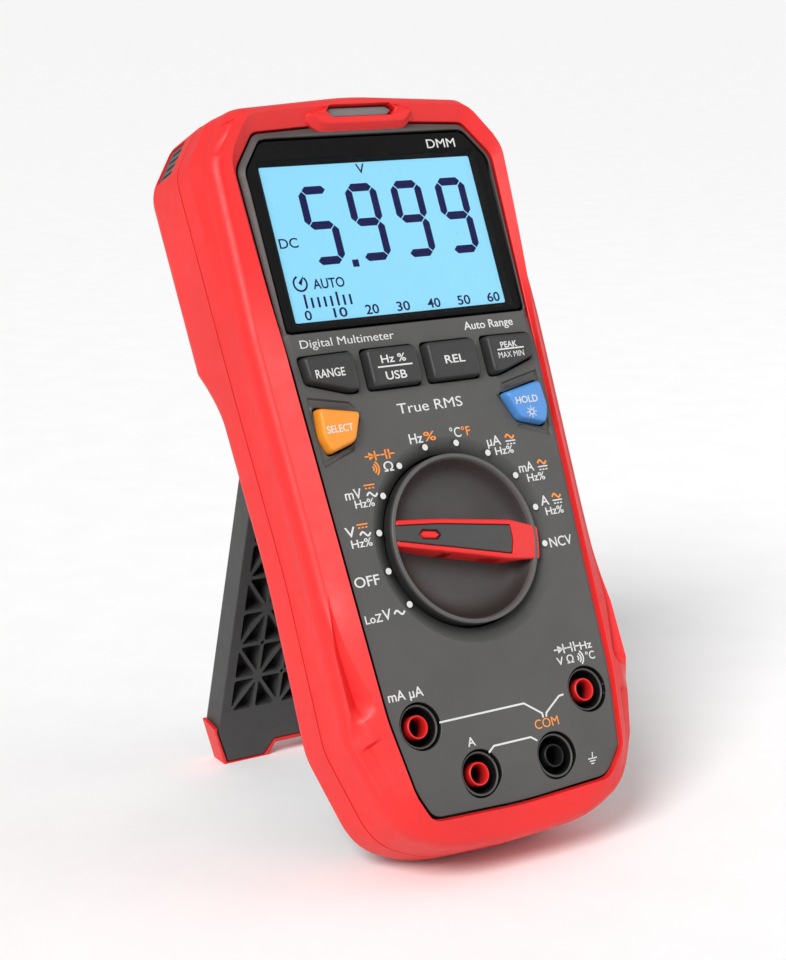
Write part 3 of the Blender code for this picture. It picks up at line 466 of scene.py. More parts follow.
LOOKS = {  # colour, roughness and what else is special about each finish
    "soft_red": ((0.72, 0.012, 0.012), 0.5, dict(mottle=0.04, depth=0.1)),
    "panel_grey": ((0.066, 0.065, 0.062), 0.5, dict(depth=0.3)),
    "shell_grey": ((0.045, 0.045, 0.044), 0.55, dict(depth=0.3)),
    "ring_grey": ((0.085, 0.083, 0.08), 0.45, dict(depth=0.2)),
    "matte_black": ((0.006, 0.006, 0.006), 0.85, dict(gloss=0.1)),
    "bowl_grey": ((0.05, 0.048, 0.046), 0.5, dict(depth=0.2)),
    "key_charcoal": ((0.024, 0.024, 0.024), 0.5, dict(depth=0.2)),
    "key_orange": ((0.80, 0.27, 0.02), 0.45, dict(mottle=0.04)),
    "key_blue": ((0.075, 0.25, 0.60), 0.45, dict(mottle=0.04)),
    "window": ((0.02, 0.03, 0.035), 0.12, dict(mottle=0.02, depth=0.01)),
    "display_blue": ((0.14, 0.38, 0.52), 0.3, dict(mottle=0.02, depth=0.02)),
    "white_plastic": ((0.7, 0.7, 0.68), 0.45, {}),
    "rubber_grey": ((0.16, 0.16, 0.16), 0.7, {}),
    "gloss_black": ((0.01, 0.01, 0.011), 0.45, dict(depth=0.05, gloss=0.3)),
    "board_green": ((0.02, 0.2, 0.07), 0.4, {}),
    "brass": ((0.5, 0.36, 0.13), 0.35, dict(metal=1.0)),
    "steel": ((0.5, 0.5, 0.51), 0.35, dict(metal=1.0)),
    "ceramic": ((0.75, 0.72, 0.65), 0.5, {}),
    "cell_jacket": ((0.04, 0.07, 0.12), 0.35, {}),
    "print_white": ((0.62, 0.62, 0.61), 0.55, dict(mottle=0.04, depth=0.05)),
    "print_orange": ((0.85, 0.26, 0.03), 0.55, dict(mottle=0.04, depth=0.05)),
    "lcd_ink": ((0.003, 0.003, 0.06), 0.6, dict(mottle=0.1, depth=0.02, gloss=0.2)),
}


def all_finishes():
    made = {name: moulded(name, colour, roughness, **special)
            for name, (colour, roughness, special) in LOOKS.items()}
    light_up(made["display_blue"])
    made["window"].node_tree.nodes["Principled BSDF"].inputs["Alpha"].default_value = PANE_ALPHA
    return made


def dress_cad_nodes():
    """Gives every CAD node the finish that its slot names."""
    for node in frame["nodes"].values():
        for place in node.material_slots:
            place.material = finishes[place.material.name]


# Front overmould: a band from its lip at the panel to the crest, then the wall down to the seam

RIM_LIP = -0.7
RIM_TOP = 0.7
RIM_BEVEL = 0.5
RIM_STEP = 1.0  # between points along the outline
CORNER_POINTS = 8
BAND_RINGS = 16
START_RING = 4  # this ring follows the start of the finger grip
VALLEY_RING = 9  # and this one its deepest line
TOP_BEVEL = 0.68  # share of the band that the bevel takes at the top
BEVEL_SPAN = (50, 95)  # the bevel grows between these two heights
BEVEL_LIFT = 1.4
CREST = -4.5
CREST_RINGS = 12
CREST_WIDTH = 2.2  # from the end of the band to the outline
CRISP_WIDTH = 0.45  # the same where the crest is sharp
CREST_SHIFT = ((-7, 0.0), (-35, 0.6), (-40, -1.5), (-57, 0.0))  # v, and how far the crest rises there
CREST_SIDE = CREST + 1.4  # the crest's height along the sides; it rises to 0 over the next span
RISE_SPAN = (101, 109)
GRIP_TOP = -7
GRIP_FULL = -34
GRIP_END = -37.6
GRIP_DEPTH = 2.6
NOTCH_TOP = -43
NOTCH_END = -58
NOTCH_DEPTH = 1.8
CRISP_TOP = -21  # the crest is sharp between these two heights
CRISP_LOW = -52
FACET_LOW = 99.4  # the flat cut across both upper corners lies between these two heights
FACET_HIGH = 106.6
FACET_DEPTH = 0.9


def grip_knots(v):
    """The shares of the band where the finger grip starts to fall and where it turns."""
    widened = max(share_of(v, GRIP_TOP, GRIP_FULL), 0.1)
    return 1 - 0.75 * widened, 1 - 0.42 * widened


def band_share(ring, v):
    """Spaces the band's rings so that the grip's edges follow them."""
    start, valley = grip_knots(v)
    if ring <= START_RING:
        return start * ring / START_RING
    if ring <= VALLEY_RING:
        return start + (valley - start) * (ring - START_RING) / (VALLEY_RING - START_RING)
    return valley + (1 - valley) * (ring - VALLEY_RING) / (BAND_RINGS - VALLEY_RING)


def grip(t, v):
    """How far the grip and the notch below it move the band's surface, at share t of its width."""
    if v > GRIP_TOP:
        return 0.0
    start, valley = grip_knots(v)
    if t <= valley:
        share = max(t - start, 0.0) / (valley - start)
    else:
        share = (1 - t) / (1 - valley)
    depth = GRIP_DEPTH * share_of(v, GRIP_TOP, GRIP_FULL) * share_of(v, GRIP_END, GRIP_FULL)
    if v < NOTCH_TOP:
        depth = NOTCH_DEPTH * share_of(v, NOTCH_END, NOTCH_TOP)
    return read_knots(CREST_SHIFT, v) * share_of(t, 0.6, 1.0) - depth * share


def in_facet(v):
    return FACET_LOW < v < FACET_HIGH


def corner_facet(t, v):
    return -FACET_DEPTH * share_of(t, 0.0, 0.12) if in_facet(v) else 0.0


def crest_reach(v):
    """How sharp the crest is and how close to the outline: 1 beside the grips and 0 higher up."""
    if in_facet(v):
        return 0.15
    return share_of(v, GRIP_TOP, CRISP_TOP) * share_of(v, CRISP_LOW - 8, CRISP_LOW)


def crest_h(v):
    return blend(CREST_SIDE, 0.0, share_of(v, *RISE_SPAN))


def rim_outline(half, inset):
    """An outline whose points match those of the case's own outline one by one."""
    splits = edge_splits(closed_outline(CASE_HALF), RIM_STEP)
    return rounded(closed_outline(half), inset, CORNER_POINTS, splits)


def crest_line(inset):
    lines = zip(rim_outline(CREST_HALF, inset), rim_outline(CREST_HALF, min(inset, CRISP_WIDTH)))
    return [tuple(Vector(soft).lerp(Vector(crisp), crest_reach(soft[1]))) for soft, crisp in lines]


def band_ring(ring):
    """The band runs from an inner crest, which moves outwards near the top, to the outer crest."""
    made = []
    for (x0, v0), (x1, v1) in zip(rim_outline(PANEL_HALF, -RIM_BEVEL), crest_line(CREST_WIDTH)):
        t = band_share(ring, v1)
        bevel = TOP_BEVEL * share_of(v1, *BEVEL_SPAN)
        share = bevel + (1 - bevel) * t
        low = RIM_TOP + BEVEL_LIFT * bevel + panel_h(v0)
        h = low + (crest_h(v1) - low) * t + grip(t, v1) + corner_facet(t, v1)
        made.append((x0 + (x1 - x0) * share, v0 + (v1 - v0) * share, h))
    return made


def crest_ring(u):
    """One ring of the rounded crest, from the band at u = 0 to the wall at u = 1."""
    made = []
    for x, v in crest_line(CREST_WIDTH * (1 - u) ** 2 - 0.1 * u * u):
        shift = read_knots(CREST_SHIFT, v) + corner_facet(1, v)
        start, turn, end = crest_h(v) + shift, CREST + 0.6 + shift, CREST - 3.4
        made.append((x, v, start * (1 - u) ** 2 + turn * 2 * u * (1 - u) + end * u * u))
    return made


def between(first, last, share):
    return [tuple(Vector(a).lerp(Vector(b), share)) for a, b in zip(first, last)]


def rim_rings():
    inner = rim_outline(PANEL_HALF, 0.0)
    lip = at(rim_outline(PANEL_HALF, -0.15), lambda v: RIM_LIP + panel_h(v) + 0.05)
    seam_top = SEAM_MIDDLE + SEAM
    rings = [
        at(inner, lambda v: shoulder_h(v) + 0.9),
        at(inner, lambda v: RIM_LIP + panel_h(v) - 0.1),
        lip,
        between(lip, band_ring(0), 0.5),
        between(lip, band_ring(0), 0.96),
        between(band_ring(0), band_ring(1), 0.06),
    ]
    rings += [band_ring(ring) for ring in range(1, BAND_RINGS + 1)]
    rings += [crest_ring(k / CREST_RINGS) for k in range(1, CREST_RINGS + 1)]
    wall = (
        (-0.25, -11.0), (-0.45, -15.0), (-DRAFT, seam_top + 0.1), (-DRAFT + 0.08, seam_top),
        (SKIN - DRAFT, seam_top), (SKIN, lambda v: shoulder_h(v) - 1.2),
    )
    return rings + [at(rim_outline(CASE_HALF, inset), depth) for inset, depth in wall]


def front_overmould():
    rim = new_object("rim", loft(rim_rings(), closed=True), FACE)
    opening = slot_outline(SLOT_CLEAR)
    cut(rim, loft([at(opening, CREST), at(opening, 4.0)], capped=True), FACE)
    dress(rim, "case", "soft_red", ["front_overmould"], sharp=15.0)


def parting_seam():
    """A dark strip set back in the gap between the two overmoulds."""
    deep, shallow = SKIN - DRAFT - 0.3, 0.35 - DRAFT
    section = (
        (deep, -0.5), (shallow + 0.2, -0.5), (shallow, -0.3),
        (shallow, 0.3), (shallow + 0.2, 0.5), (deep, 0.5),
    )
    rings = [at(rim_outline(CASE_HALF, inset), SEAM_MIDDLE + h) for inset, h in section]
    piece("parting_seam", loft(rings, closed=True), FACE, "case", "shell_grey", material="matte_black")


# Sensor slot in the top of the rim

SLOT = (9.7, 105.4, 107.9)  # half width, lowest and highest v
SLOT_CLEAR = 0.35
SLOT_BLOCK = [
    (-15.9, 107.6, 0.8), (15.9, 107.6, 0.8), (15.9, 105.2, 2.0),
    (12.4, 101.9, 2.0), (-12.4, 101.9, 2.0), (-15.9, 105.2, 2.0),
]
SLOT_BLOCK_EDGE = ((0.0, -0.2), (0.15, 0.1), (1.5, 1.85), (1.8, 2.0))  # inset and h
SLOT_FLOOR = -1.0


def slot_outline(margin):
    half, low, high = SLOT[0] + margin, SLOT[1] - margin, SLOT[2] + margin
    middle = (low + high) / 2
    return rounded([(-half, middle, 0.2), (-half + 1.4, high, 0.4), (half - 1.4, high, 0.4),
                    (half, middle, 0.2), (half - 1.4, low, 0.4), (-half + 1.4, low, 0.4)])


def sensor_slot():
    loops = [at(rounded(SLOT_BLOCK, inset), h) for inset, h in SLOT_BLOCK_EDGE]
    loops += [at(slot_outline(0.6), 2.0), at(slot_outline(SLOT_CLEAR), 1.7)]
    keep = within(rounded(SLOT_BLOCK), [slot_outline(SLOT_CLEAR)])
    piece("slot_block", slab(loops, keep, SLOT_FLOOR), FACE, "case", "soft_red", sharp=22.0)

    outline = slot_outline(0.0)
    loops = [at(outline, -0.2), at(slot_outline(-0.3), 0.25)]
    window = slab(loops, within(outline), SLOT_FLOOR)
    piece("slot_window", window, FACE, "case", "rubber_grey", ["field_sensor_window"])

    outline = slot_outline(0.45)
    shadow = slab([at(outline, -0.5)], within(outline), -1.6)
    piece("slot_shadow", shadow, FACE, "case", "gloss_black")


# Panel

PANEL_EDGE = ((GAP, -1.2), (GAP + 0.1, -0.95), (GAP + 1.5, -0.08), (GAP + 1.7, 0.0))  # inset and h
LENS_SEAT = ((GAP, -0.35), (0.5, -0.1), (0.8, 0.0))  # outset and h
KEY_SEAT = ((KEY_CLEAR, -0.4), (0.5, -0.1), (0.7, 0.0))
DIAL_SEAT = (  # radius and h
    (DIAL_HOLE, -2.3), (21.1, -1.9), (DIAL_CONE - 0.3, -0.08), (DIAL_CONE + 0.2, 0.0),
)
GROOVE_LINES = ((0.6, 0.0), (0.25, -0.55))  # half width and h
CREASE_SPANS = ((-28, -17.8), (-4.2, 4.2), (17.8, 28))


def key_outline(points, inset=0.0):
    return rounded(soft_corners(points, 1.2), inset)


def key_outlines():
    return {
        "range": mirrored(KEY_OUTER),
        "hertz": mirrored(KEY_INNER),
        "relative": KEY_INNER,
        "peak": KEY_OUTER,
        "select": mirrored(KEY_LOWER),
        "hold": KEY_LOWER,
    }


def jack_circle(place, outset=0.0):
    return circle(JACK_HOLE + outset, 64, *place)


def panel_holes():
    holes = [rounded(closed_outline(LENS_HALF), -GAP), circle(DIAL_HOLE)]
    holes += [key_outline(outline, -KEY_CLEAR) for outline in key_outlines().values()]
    return holes + [jack_circle(place) for place in JACKS.values()]


def panel_loops():
    """The lines on the panel's top where its slope changes."""
    panel, lens = closed_outline(PANEL_HALF), closed_outline(LENS_HALF)
    loops = [at(rounded(panel, inset), lambda v, h=h: panel_h(v) + h * blend(0.12, 1.0, (v - 46) / 8))
             for inset, h in PANEL_EDGE]
    loops += [at(rounded(lens, -outset), h) for outset, h in LENS_SEAT]
    loops += [at(circle(radius), h) for radius, h in DIAL_SEAT]
    for outline in key_outlines().values():
        loops += [at(key_outline(outline, -outset), h) for outset, h in KEY_SEAT]
    for place in JACKS.values():
        loops.append(at(jack_circle(place), lambda v: panel_h(v) - 0.12))
        loops.append(at(jack_circle(place, 0.15), panel_h))
    for points in (GROOVE, mirrored(GROOVE)):
        loops += [at(band_outline(points, half), h) for half, h in GROOVE_LINES]
    return loops


def front_panel():
    edge, holes = rounded(closed_outline(PANEL_HALF), GAP), panel_holes()
    creases = [at([(start, CREASE), (end, CREASE)], 0.0) for start, end in CREASE_SPANS]
    bm = slab(panel_loops(), within(edge, holes), lambda v: panel_h(v) - PANEL_DEPTH, creases)
    panel = piece("panel", bm, FACE, "case", "panel_grey", ["front_shell"])
    # Painted shade: the cone round the dial gets darker towards the dial, in place of the soft shadow
    # there, and painted shadow covers the panel's outer edge and the walls of its holes.
    add_painted_shade(panel, FACE, lambda radius, h: min((DIAL_CONE - radius) / 4.5, 0.75), [edge] + holes)


def rectangle(half, low, high, length=0.6):
    return [(-half, high, length), (half, high, length), (half, low, length), (-half, low, length)]


def display():
    lens = closed_outline(LENS_HALF)
    outline, hole = rounded(lens), rounded(rectangle(*SHOWN))
    loops = [at(rounded(lens, inset), h) for inset, h in ((0.0, -0.45), (0.15, -0.28), (0.4, -0.2))]
    loops += [at(rounded(rectangle(*VIEW)), -0.25), at(hole, LCD_TOP + 0.15)]
    border = slab(loops, within(outline, [hole]), -2.6)
    piece("window_border", border, FACE, "case", "gloss_black", ["display_window"], "matte_black")

    half, low, high = VIEW
    corners = rectangle(half - 0.1, low + 0.1, high - 0.1)
    outline = rounded(corners)
    pane = slab([at(outline, -0.3), at(rounded(corners, 0.2), -0.22)], within(outline), -0.6)
    piece("window_pane", pane, FACE, "case", "window", ["display_window"])


# Keys

KEY_PROFILE = (  # inset and h
    (0.0, KEY_LOW), (0.0, 0.2), (0.18, 1.5), (0.3, 1.9), (0.5, 2.18), (0.8, 2.34), (1.2, KEY_TOP),
)
KEY_SLOTS = {"select": "key_orange", "hold": "key_blue"}


def keys():
    for name, outline in key_outlines().items():
        cap = loft([at(key_outline(outline, inset), h) for inset, h in KEY_PROFILE], capped=True)
        slot = KEY_SLOTS.get(name, "key_charcoal")
        piece(f"{name}_cap", cap, FACE, f"{name}_key", slot, [f"key_{name}"])


# Dial, in the face frame turned so that the pointer's end is up

BAR_TOP = 2.3
BAR_END = 0.9
BAR_KNOTS = ((19.5, BAR_END), (7, BAR_TOP), (-12.5, BAR_TOP), (-20.5, BAR_END))
BAR_TAIL = 21.2
WEB_TAIL = 19.6
POINTER = (0.85, 7.9, 13.1)  # half width, lowest and highest v
RING_PROFILE = (  # radius and h
    (19.0, -6.3), (20.3, -6.3), (20.5, -5.8), (20.5, -0.2), (20.5, 0.7), (20.42, 1.0), (20.2, 1.17),
    (19.9, 1.2), (19.6, 1.12), (19.4, 0.9), (19.25, 0.4), (19.0, -0.6),
)
BOWL_PROFILE = (
    (19.1, -6.2), (19.15, 0.1), (18.5, -0.8), (17.6, -2.2), (16.4, -3.4), (15.0, -4.2), (13.0, -4.75),
    (10.0, -5.0),
)
BAR_EDGE = ((0.0, -0.55), (0.08, -0.3), (0.22, -0.12), (0.45, 0.0))  # inset and h below the top


def bar_top(v):
    return read_knots(BAR_KNOTS, v)


def below_bar(drop):
    return lambda v: bar_top(v) - drop


def split_outline(half, inset):
    corners = closed_outline(half)
    return rounded(corners, inset, 6, edge_splits(corners, 1.5))


def bar_outline(inset, tail=BAR_TAIL):
    side = [(3.1, 19.2, 0.8), (3.8, 9, 2), (4.8, -12, 1.5), (4.0, 0.2 - tail, 0.6)]
    return split_outline([(0, 19.3, 1.5)] + side + [(0, -tail, 1.5)], inset)


def insert_outline(inset):
    half = [(0, 19.9, 1), (1.7, 19.8, 0.3), (2.5, 9, 1.5), (3.4, -11.9, 0.5), (0, -12.4, 1)]
    return split_outline(half, inset)


def pointer_outline(margin):
    half, low, high = POINTER[0] + margin, POINTER[1] - margin, POINTER[2] + margin
    return [(0, high), (half, high - 1), (half, low + 1), (0, low), (-half, low + 1), (-half, high - 1)]


def dial_dish():
    bm = turned(RING_PROFILE, sides=128)
    ring = piece("dial_ring", bm, DIAL, "dial", "shell_grey", ["dial_knob"], "ring_grey")
    # Painted shade on the ring's outer wall, darker further down.
    add_painted_shade(ring, DIAL, lambda radius, h: min(0.9 - h, 0.75) if radius > 20.3 else 0.0)

    bm = turned(BOWL_PROFILE, sides=128, closed=False)
    bowl = piece("dial_bowl", bm, DIAL, "dial", "shell_grey", ["dial_knob"], "bowl_grey")
    # Painted shade on the bowl: its walls are darker than its floor, as the light falls into it.
    add_painted_shade(bowl, DIAL, lambda radius, h: min((h + 4.6) / 4.5, 0.7))


def dial_bar():
    whole, seat = bar_outline(0.0), insert_outline(-0.22)
    loops = [at(bar_outline(inset), below_bar(-h)) for inset, h in BAR_EDGE]
    loops += [at(insert_outline(-0.42), bar_top), at(seat, below_bar(0.12))]
    bm = slab(loops, within(whole, [seat]), 0.3)
    web = bar_outline(0.25, WEB_TAIL)
    slab([at(web, 0.35)], within(web), -5.2, bm=bm)
    piece("grip", bm, DIAL, "dial", "soft_red", ["dial_grip"])

    # A dark floor under the gaps round the insert and the pointer: painted shadow in those gaps.
    floor = insert_outline(-0.3)
    gap_shadow = slab([at(floor, below_bar(0.75))], within(floor), 0.2)
    piece("insert_gap_shadow", gap_shadow, DIAL, "dial", "gloss_black", ["dial_grip"])


def dial_insert():
    outline, opening = insert_outline(0.0), pointer_outline(0.35)
    loops = [at(outline, below_bar(0.2)), at(insert_outline(0.18), below_bar(-0.02))]
    loops += [at(pointer_outline(0.5), bar_top), at(opening, below_bar(0.12))]
    insert = slab(loops, within(outline, [opening]), below_bar(1.2))
    piece("insert", insert, DIAL, "dial", "shell_grey", ["dial_insert"])

    outline = pointer_outline(0.0)
    loops = [at(outline, below_bar(0.5)), at(pointer_outline(-0.3), below_bar(0.2))]
    piece("pointer", slab(loops, within(outline), 0.8), DIAL, "dial", "soft_red", ["dial_pointer"])


# Jacks: profiles of (radius, h)

COLLAR = (
    (2.1, -12.0), (2.15, -5.0), (2.25, -2.0), (2.32, -1.3), (2.42, -1.12), (2.6, -1.1), (2.74, -1.25),
    (2.8, -1.6), (2.85, -5.0), (2.9, -8.0), (2.9, -12.0),
)
SHROUD = (
    (4.62, -9.0), (4.6, -1.25), (4.66, -1.0), (4.85, -0.8), (5.0, -0.8), (5.15, -1.0), (5.15, -9.0),
)
JACK_FLOOR = ((2.95, -7.5), (5.5, -7.5), (5.5, -8.2), (2.95, -8.2))
SOCKET = ((1.75, -9.0), (2.05, -9.0), (2.05, -12.0), (1.75, -12.0))


def jacks():
    for name, (x, v) in JACKS.items():
        slot = "gloss_black" if name == "common" else "soft_red"
        axis = FACE @ Matrix.Translation((x, v, 0))
        # Painted shade: the collar gets darker the deeper it goes, the shroud's inside and the floor are in
        # full painted shade, and the socket is plain.
        for part, profile, finish, replaced, painted_shade in (
            ("collar", COLLAR, slot, [f"jack_collar_{name}"], lambda radius, h: (-1.2 - h) / 3.5),
            ("shroud", SHROUD, "panel_grey", [], lambda radius, h: 1.0 if h < -1.2 else 0.0),
            ("floor", JACK_FLOOR, "gloss_black", [], lambda radius, h: 1.0),
            ("socket", SOCKET, "brass", [f"jack_socket_{name}"], lambda radius, h: 0.0),
        ):
            made = piece(f"jack_{part}_of_{name}", turned(profile), axis, "case", finish, replaced)
            add_painted_shade(made, axis, painted_shade)


# Rear

VENT = (5.3, -28.6, -20.6)  # half width, lowest and highest h of the opening
VENT_SLOTS = 4
VENT_PITCH = 2.3


def rear_rings():
    case = closed_outline(CASE_HALF)
    splits = edge_splits(case, 2.5)
    seam_low = SEAM_MIDDLE - SEAM

    def ring(inset, depth):
        return at(rounded(case, inset - DRAFT, CORNER_POINTS, splits), depth)

    def slope(share, inset=0.0, lift=0.0):
        return ring(CHAMFER * share + inset, lambda v: blend(wall_end(v), back_h(v), share) + lift)

    return [
        ring(0.08, seam_low), ring(0.0, seam_low - 0.1),
        ring(0.0, lambda v: wall_end(v) + 1.3), ring(0.15, lambda v: wall_end(v) + 0.3),
        slope(0.06), slope(0.2), slope(0.4), slope(0.58),
        slope(0.62, 0.25, 0.35), slope(0.62, 1.2, 1.6),
        ring(SKIN, lambda v: wall_end(v) + 0.9), ring(SKIN, seam_low),
    ]


def rear_overmould():
    bm = loft(rear_rings(), closed=True)
    trim_to_floor(bm, FACE)
    skin = new_object("rear_skin", bm, FACE)
    for side in (-1, 1):
        outline = vent_outline(0.0)
        cut(skin, loft([at(outline, -4.0), at(outline, 4.0)], capped=True), vent_frame(side))
    dress(skin, "case", "soft_red", ["rear_overmould"], sharp=28.0)


def vent_frame(side):
    """The upper corner's flat: x along it, v along the face's normal, h out of the flat."""
    first, last = Vector(CASE_HALF[1][:2]), Vector(CASE_HALF[2][:2])
    along = (last - first).normalized()
    outward = Vector((-along.y, along.x))
    middle = (first + last) / 2 + outward * DRAFT
    columns = Matrix((
        (side * along.x, 0, side * outward.x, side * middle.x),
        (along.y, 0, outward.y, middle.y),
        (0, 1, 0, 0),
        (0, 0, 0, 1),
    ))
    return FACE @ columns


def vent_outline(inset):
    half, low, high = VENT
    return rounded(rectangle(half - inset, low + inset, high - inset, 0.5))


def vents():
    slot = rounded(rectangle(0.4, VENT[1] + 1.4, VENT[2] - 1.4, 0.35))
    starts = [(k - (VENT_SLOTS - 1) / 2) * VENT_PITCH for k in range(VENT_SLOTS)]
    holes = [[(x + start, v) for x, v in slot] for start in starts]
    edge = vent_outline(0.15)
    loops = [at(edge, -0.6), at(vent_outline(0.4), -0.4)] + [at(hole, -0.45) for hole in holes]
    for side, name in ((-1, "left"), (1, "right")):
        insert = slab(loops, within(edge, holes), -1.9)
        node = f"vent_insert_{name}"
        piece(f"vent_{name}", insert, vent_frame(side), "case", "shell_grey", [node], "ring_grey")


# Stand, in its own frame: v runs down the plate from the hinge at 0

HALF_PLATE = 3.3
FOOT = -STAND_LENGTH
SOLE = FOOT + 1.5
STAND_RIGHT = [
    (24.5, 0.0), (24.5, FOOT + 11.5), (20.1, SOLE), (9.0, SOLE), (6.6, FOOT + 5.8),
]
EDGE_OUTER = [
    (26.0, FOOT + 12.6), (20.3, FOOT - 1.5), (8.2, FOOT - 1.5), (5.9, FOOT + 4.3),
]
EDGE_INNER = [
    (24.8, FOOT + 12.6), (24.8, FOOT + 11.45), (20.3, SOLE - 0.3), (8.8, SOLE - 0.3),
    (6.4, FOOT + 5.5),
]
RIB_PITCH = 10.0
RIB_COLUMN = 7.4
RIB_ROWS = 8
RIB_TOP = -6.0


def rib_point(column, row):
    return column * RIB_COLUMN, RIB_TOP - row * RIB_PITCH


def rib_triangles():
    """Triangular pockets whose ribs cross and meet in stars."""
    found = []
    for row in range(RIB_ROWS):
        for column in range(-3, 3):
            cell = [rib_point(column, row + 1), rib_point(column + 1, row + 1),
                    rib_point(column + 1, row), rib_point(column, row)]
            split = (row + column) % 2
            for start in (split, split + 2):
                triangle = [cell[(start + k) % 4] for k in range(3)]
                found.append(soft_corners(reversed(triangle), 0.9))
    return found


def rib_nodes():
    """The points where eight ribs meet."""
    return [rib_point(column, row) for row in range(1, RIB_ROWS) for column in range(-2, 3)
            if (row + column) % 2 == 0]


def stand_plate():
    corners = soft_corners(STAND_RIGHT + mirrored(STAND_RIGHT), 0.6)
    edge = ((0.0, 2.9), (0.1, 3.15), (0.35, HALF_PLATE))
    loops = [at(rounded(corners, inset), h) for inset, h in edge]
    for triangle in rib_triangles():
        loops.append(at(rounded(triangle, 0.45, 4), HALF_PLATE))
        loops.append(at(rounded(triangle, 0.6, 4), -1.8))
    for x, v in rib_nodes():
        loops.append(at(circle(0.6, 12, x, v), HALF_PLATE))
        loops.append(at(circle(0.45, 12, x, v), 1.0))
    bm = slab(loops, within(rounded(corners)), -HALF_PLATE)
    piece("stand_plate", bm, STAND, "stand", "shell_grey", ["tilt_stand"])


def stand_barrel():
    sections = ((-24.5, 2.9), (-24.1, 3.3), (24.1, 3.3), (24.5, 2.9))
    rings = [[(x, v, h) for v, h in circle(radius, 40)] for x, radius in sections]
    piece("stand_barrel", loft(rings, capped=True), STAND, "stand", "shell_grey", ["tilt_stand"])


def stand_edge():
    strip = EDGE_OUTER + mirrored(EDGE_OUTER) + [(-x, v) for x, v in EDGE_INNER] + EDGE_INNER[::-1]
    corners = soft_corners(strip, 0.3)
    section = ((0.25, -HALF_PLATE), (0.0, -3.0), (0.0, 3.0), (0.25, HALF_PLATE))
    bm = loft([at(rounded(corners, inset, 4), h) for inset, h in section], capped=True)
    trim_to_floor(bm, STAND)
    piece("stand_edge", bm, STAND, "stand", "soft_red", ["stand_tip"])


# Print: each word is given with its left and right ends, its baseline and the height of its capitals

PANEL_WHITE = [
    ("V", -31.9, -29.1, 4.6, 2.4), ("Hz%", -31.0, -25.3, 2.0, 1.9), ("mV", -29.6, -25.0, 13.2, 2.4),
    ("Hz%", -27.5, -22.1, 11.0, 1.9), ("Ω", -17.3, -14.6, 18.5, 2.2), ("Hz", -8.4, -4.6, 24.1, 2.4),
    ("°C", 3.5, 6.6, 24.2, 2.4), ("µA", 13.4, 17.5, 20.9, 2.4), ("Hz%", 15.2, 20.6, 18.5, 1.9),
    ("mA", 20.8, 25.3, 13.4, 2.4), ("Hz%", 22.6, 27.9, 10.9, 1.9), ("A", 24.7, 27.2, 4.6, 2.4),
    ("Hz%", 25.5, 30.9, 2.1, 1.9), ("NCV", 24.3, 31.1, -5.8, 2.4), ("OFF", -32.7, -25.8, -7.1, 2.4),
    ("LoZ", -32.2, -27.5, -15.6, 1.9), ("V", -27.3, -24.9, -15.5, 2.5), ("mA µA", -31.2, -21.5, -34.0, 2.3),
    ("A", -13.0, -10.8, -47.7, 2.1), ("Hz", 25.4, 29.0, -31.3, 1.8), ("V", 17.6, 19.6, -33.9, 1.9),
    ("Ω", 20.6, 22.7, -33.9, 1.9), ("°C", 26.4, 29.1, -34.0, 1.9), ("True RMS", -9.6, 9.2, 31.6, 2.5),
    ("Digital Multimeter", -31.8, -5.5, 49.8, 2.0), ("Auto Range", 15.2, 30.0, 50.0, 2.0),
]
PANEL_ORANGE = [("%", -4.2, -0.8, 24.3, 2.2), ("°F", 6.9, 9.4, 24.3, 2.2), ("COM", 6.8, 13.8, -47.4, 2.2)]
BORDER_WORD = ("DMM", 18.0, 26.5, 96.6, 2.3)
KEY_WORDS = {
    "range": [("RANGE", -31.0, -23.0, 41.9, 2.0)],
    "hertz": [("Hz %", -12.4, -5.4, 43.7, 1.9), ("USB", -12.1, -6.2, 39.6, 2.0)],
    "relative": [("REL", 5.6, 11.4, 41.8, 2.0)],
    "peak": [("PEAK", 22.8, 27.8, 44.0, 1.5), ("MAX MIN", 21.5, 29.2, 41.5, 1.5)],
    "select": [("SELECT", -31.6, -24.4, 28.8, 1.7)],
    "hold": [("HOLD", 23.2, 29.8, 29.8, 1.7)],
}
KEY_LINES = {"hertz": [(-13.6, 42.8), (-4.1, 42.8)], "peak": [(21.7, 43.65), (29.4, 43.65)]}
LAMP = (27.1, 27.4)  # the lamp symbol on the hold key
LINE = 0.22  # half width of a printed line
CAPITAL = 0.70  # height of a capital, as a share of the font's size

FIRST_MARK = 213.75  # angle of the first dot round the dial
MARK_STEP = 22.5
MARK_CIRCLE = 23.3
MARK_RADIUS = 0.77
MARKS = 11
DIRECT_FIRST = ((-26.9, 6.8), (-22.5, 15.6))  # direct over alternating current
ALTERNATING_FIRST = ((20.4, 22.6), (28.0, 15.2), (29.8, 6.5))
JACK_LINES = (
    [(-18.9, -40.8), (5.2, -40.8), (9.7, -44.0), (9.7, -44.8)],
    [(10.7, -44.8), (10.9, -44.1), (15.7, -40.9), (16.9, -40.8)],
    [(-7.6, -49.9), (-6.0, -48.8), (4.8, -48.8), (6.2, -49.8)],
)
GROUND = (21.2, -57.0)  # the middle of the ground symbol's longest bar


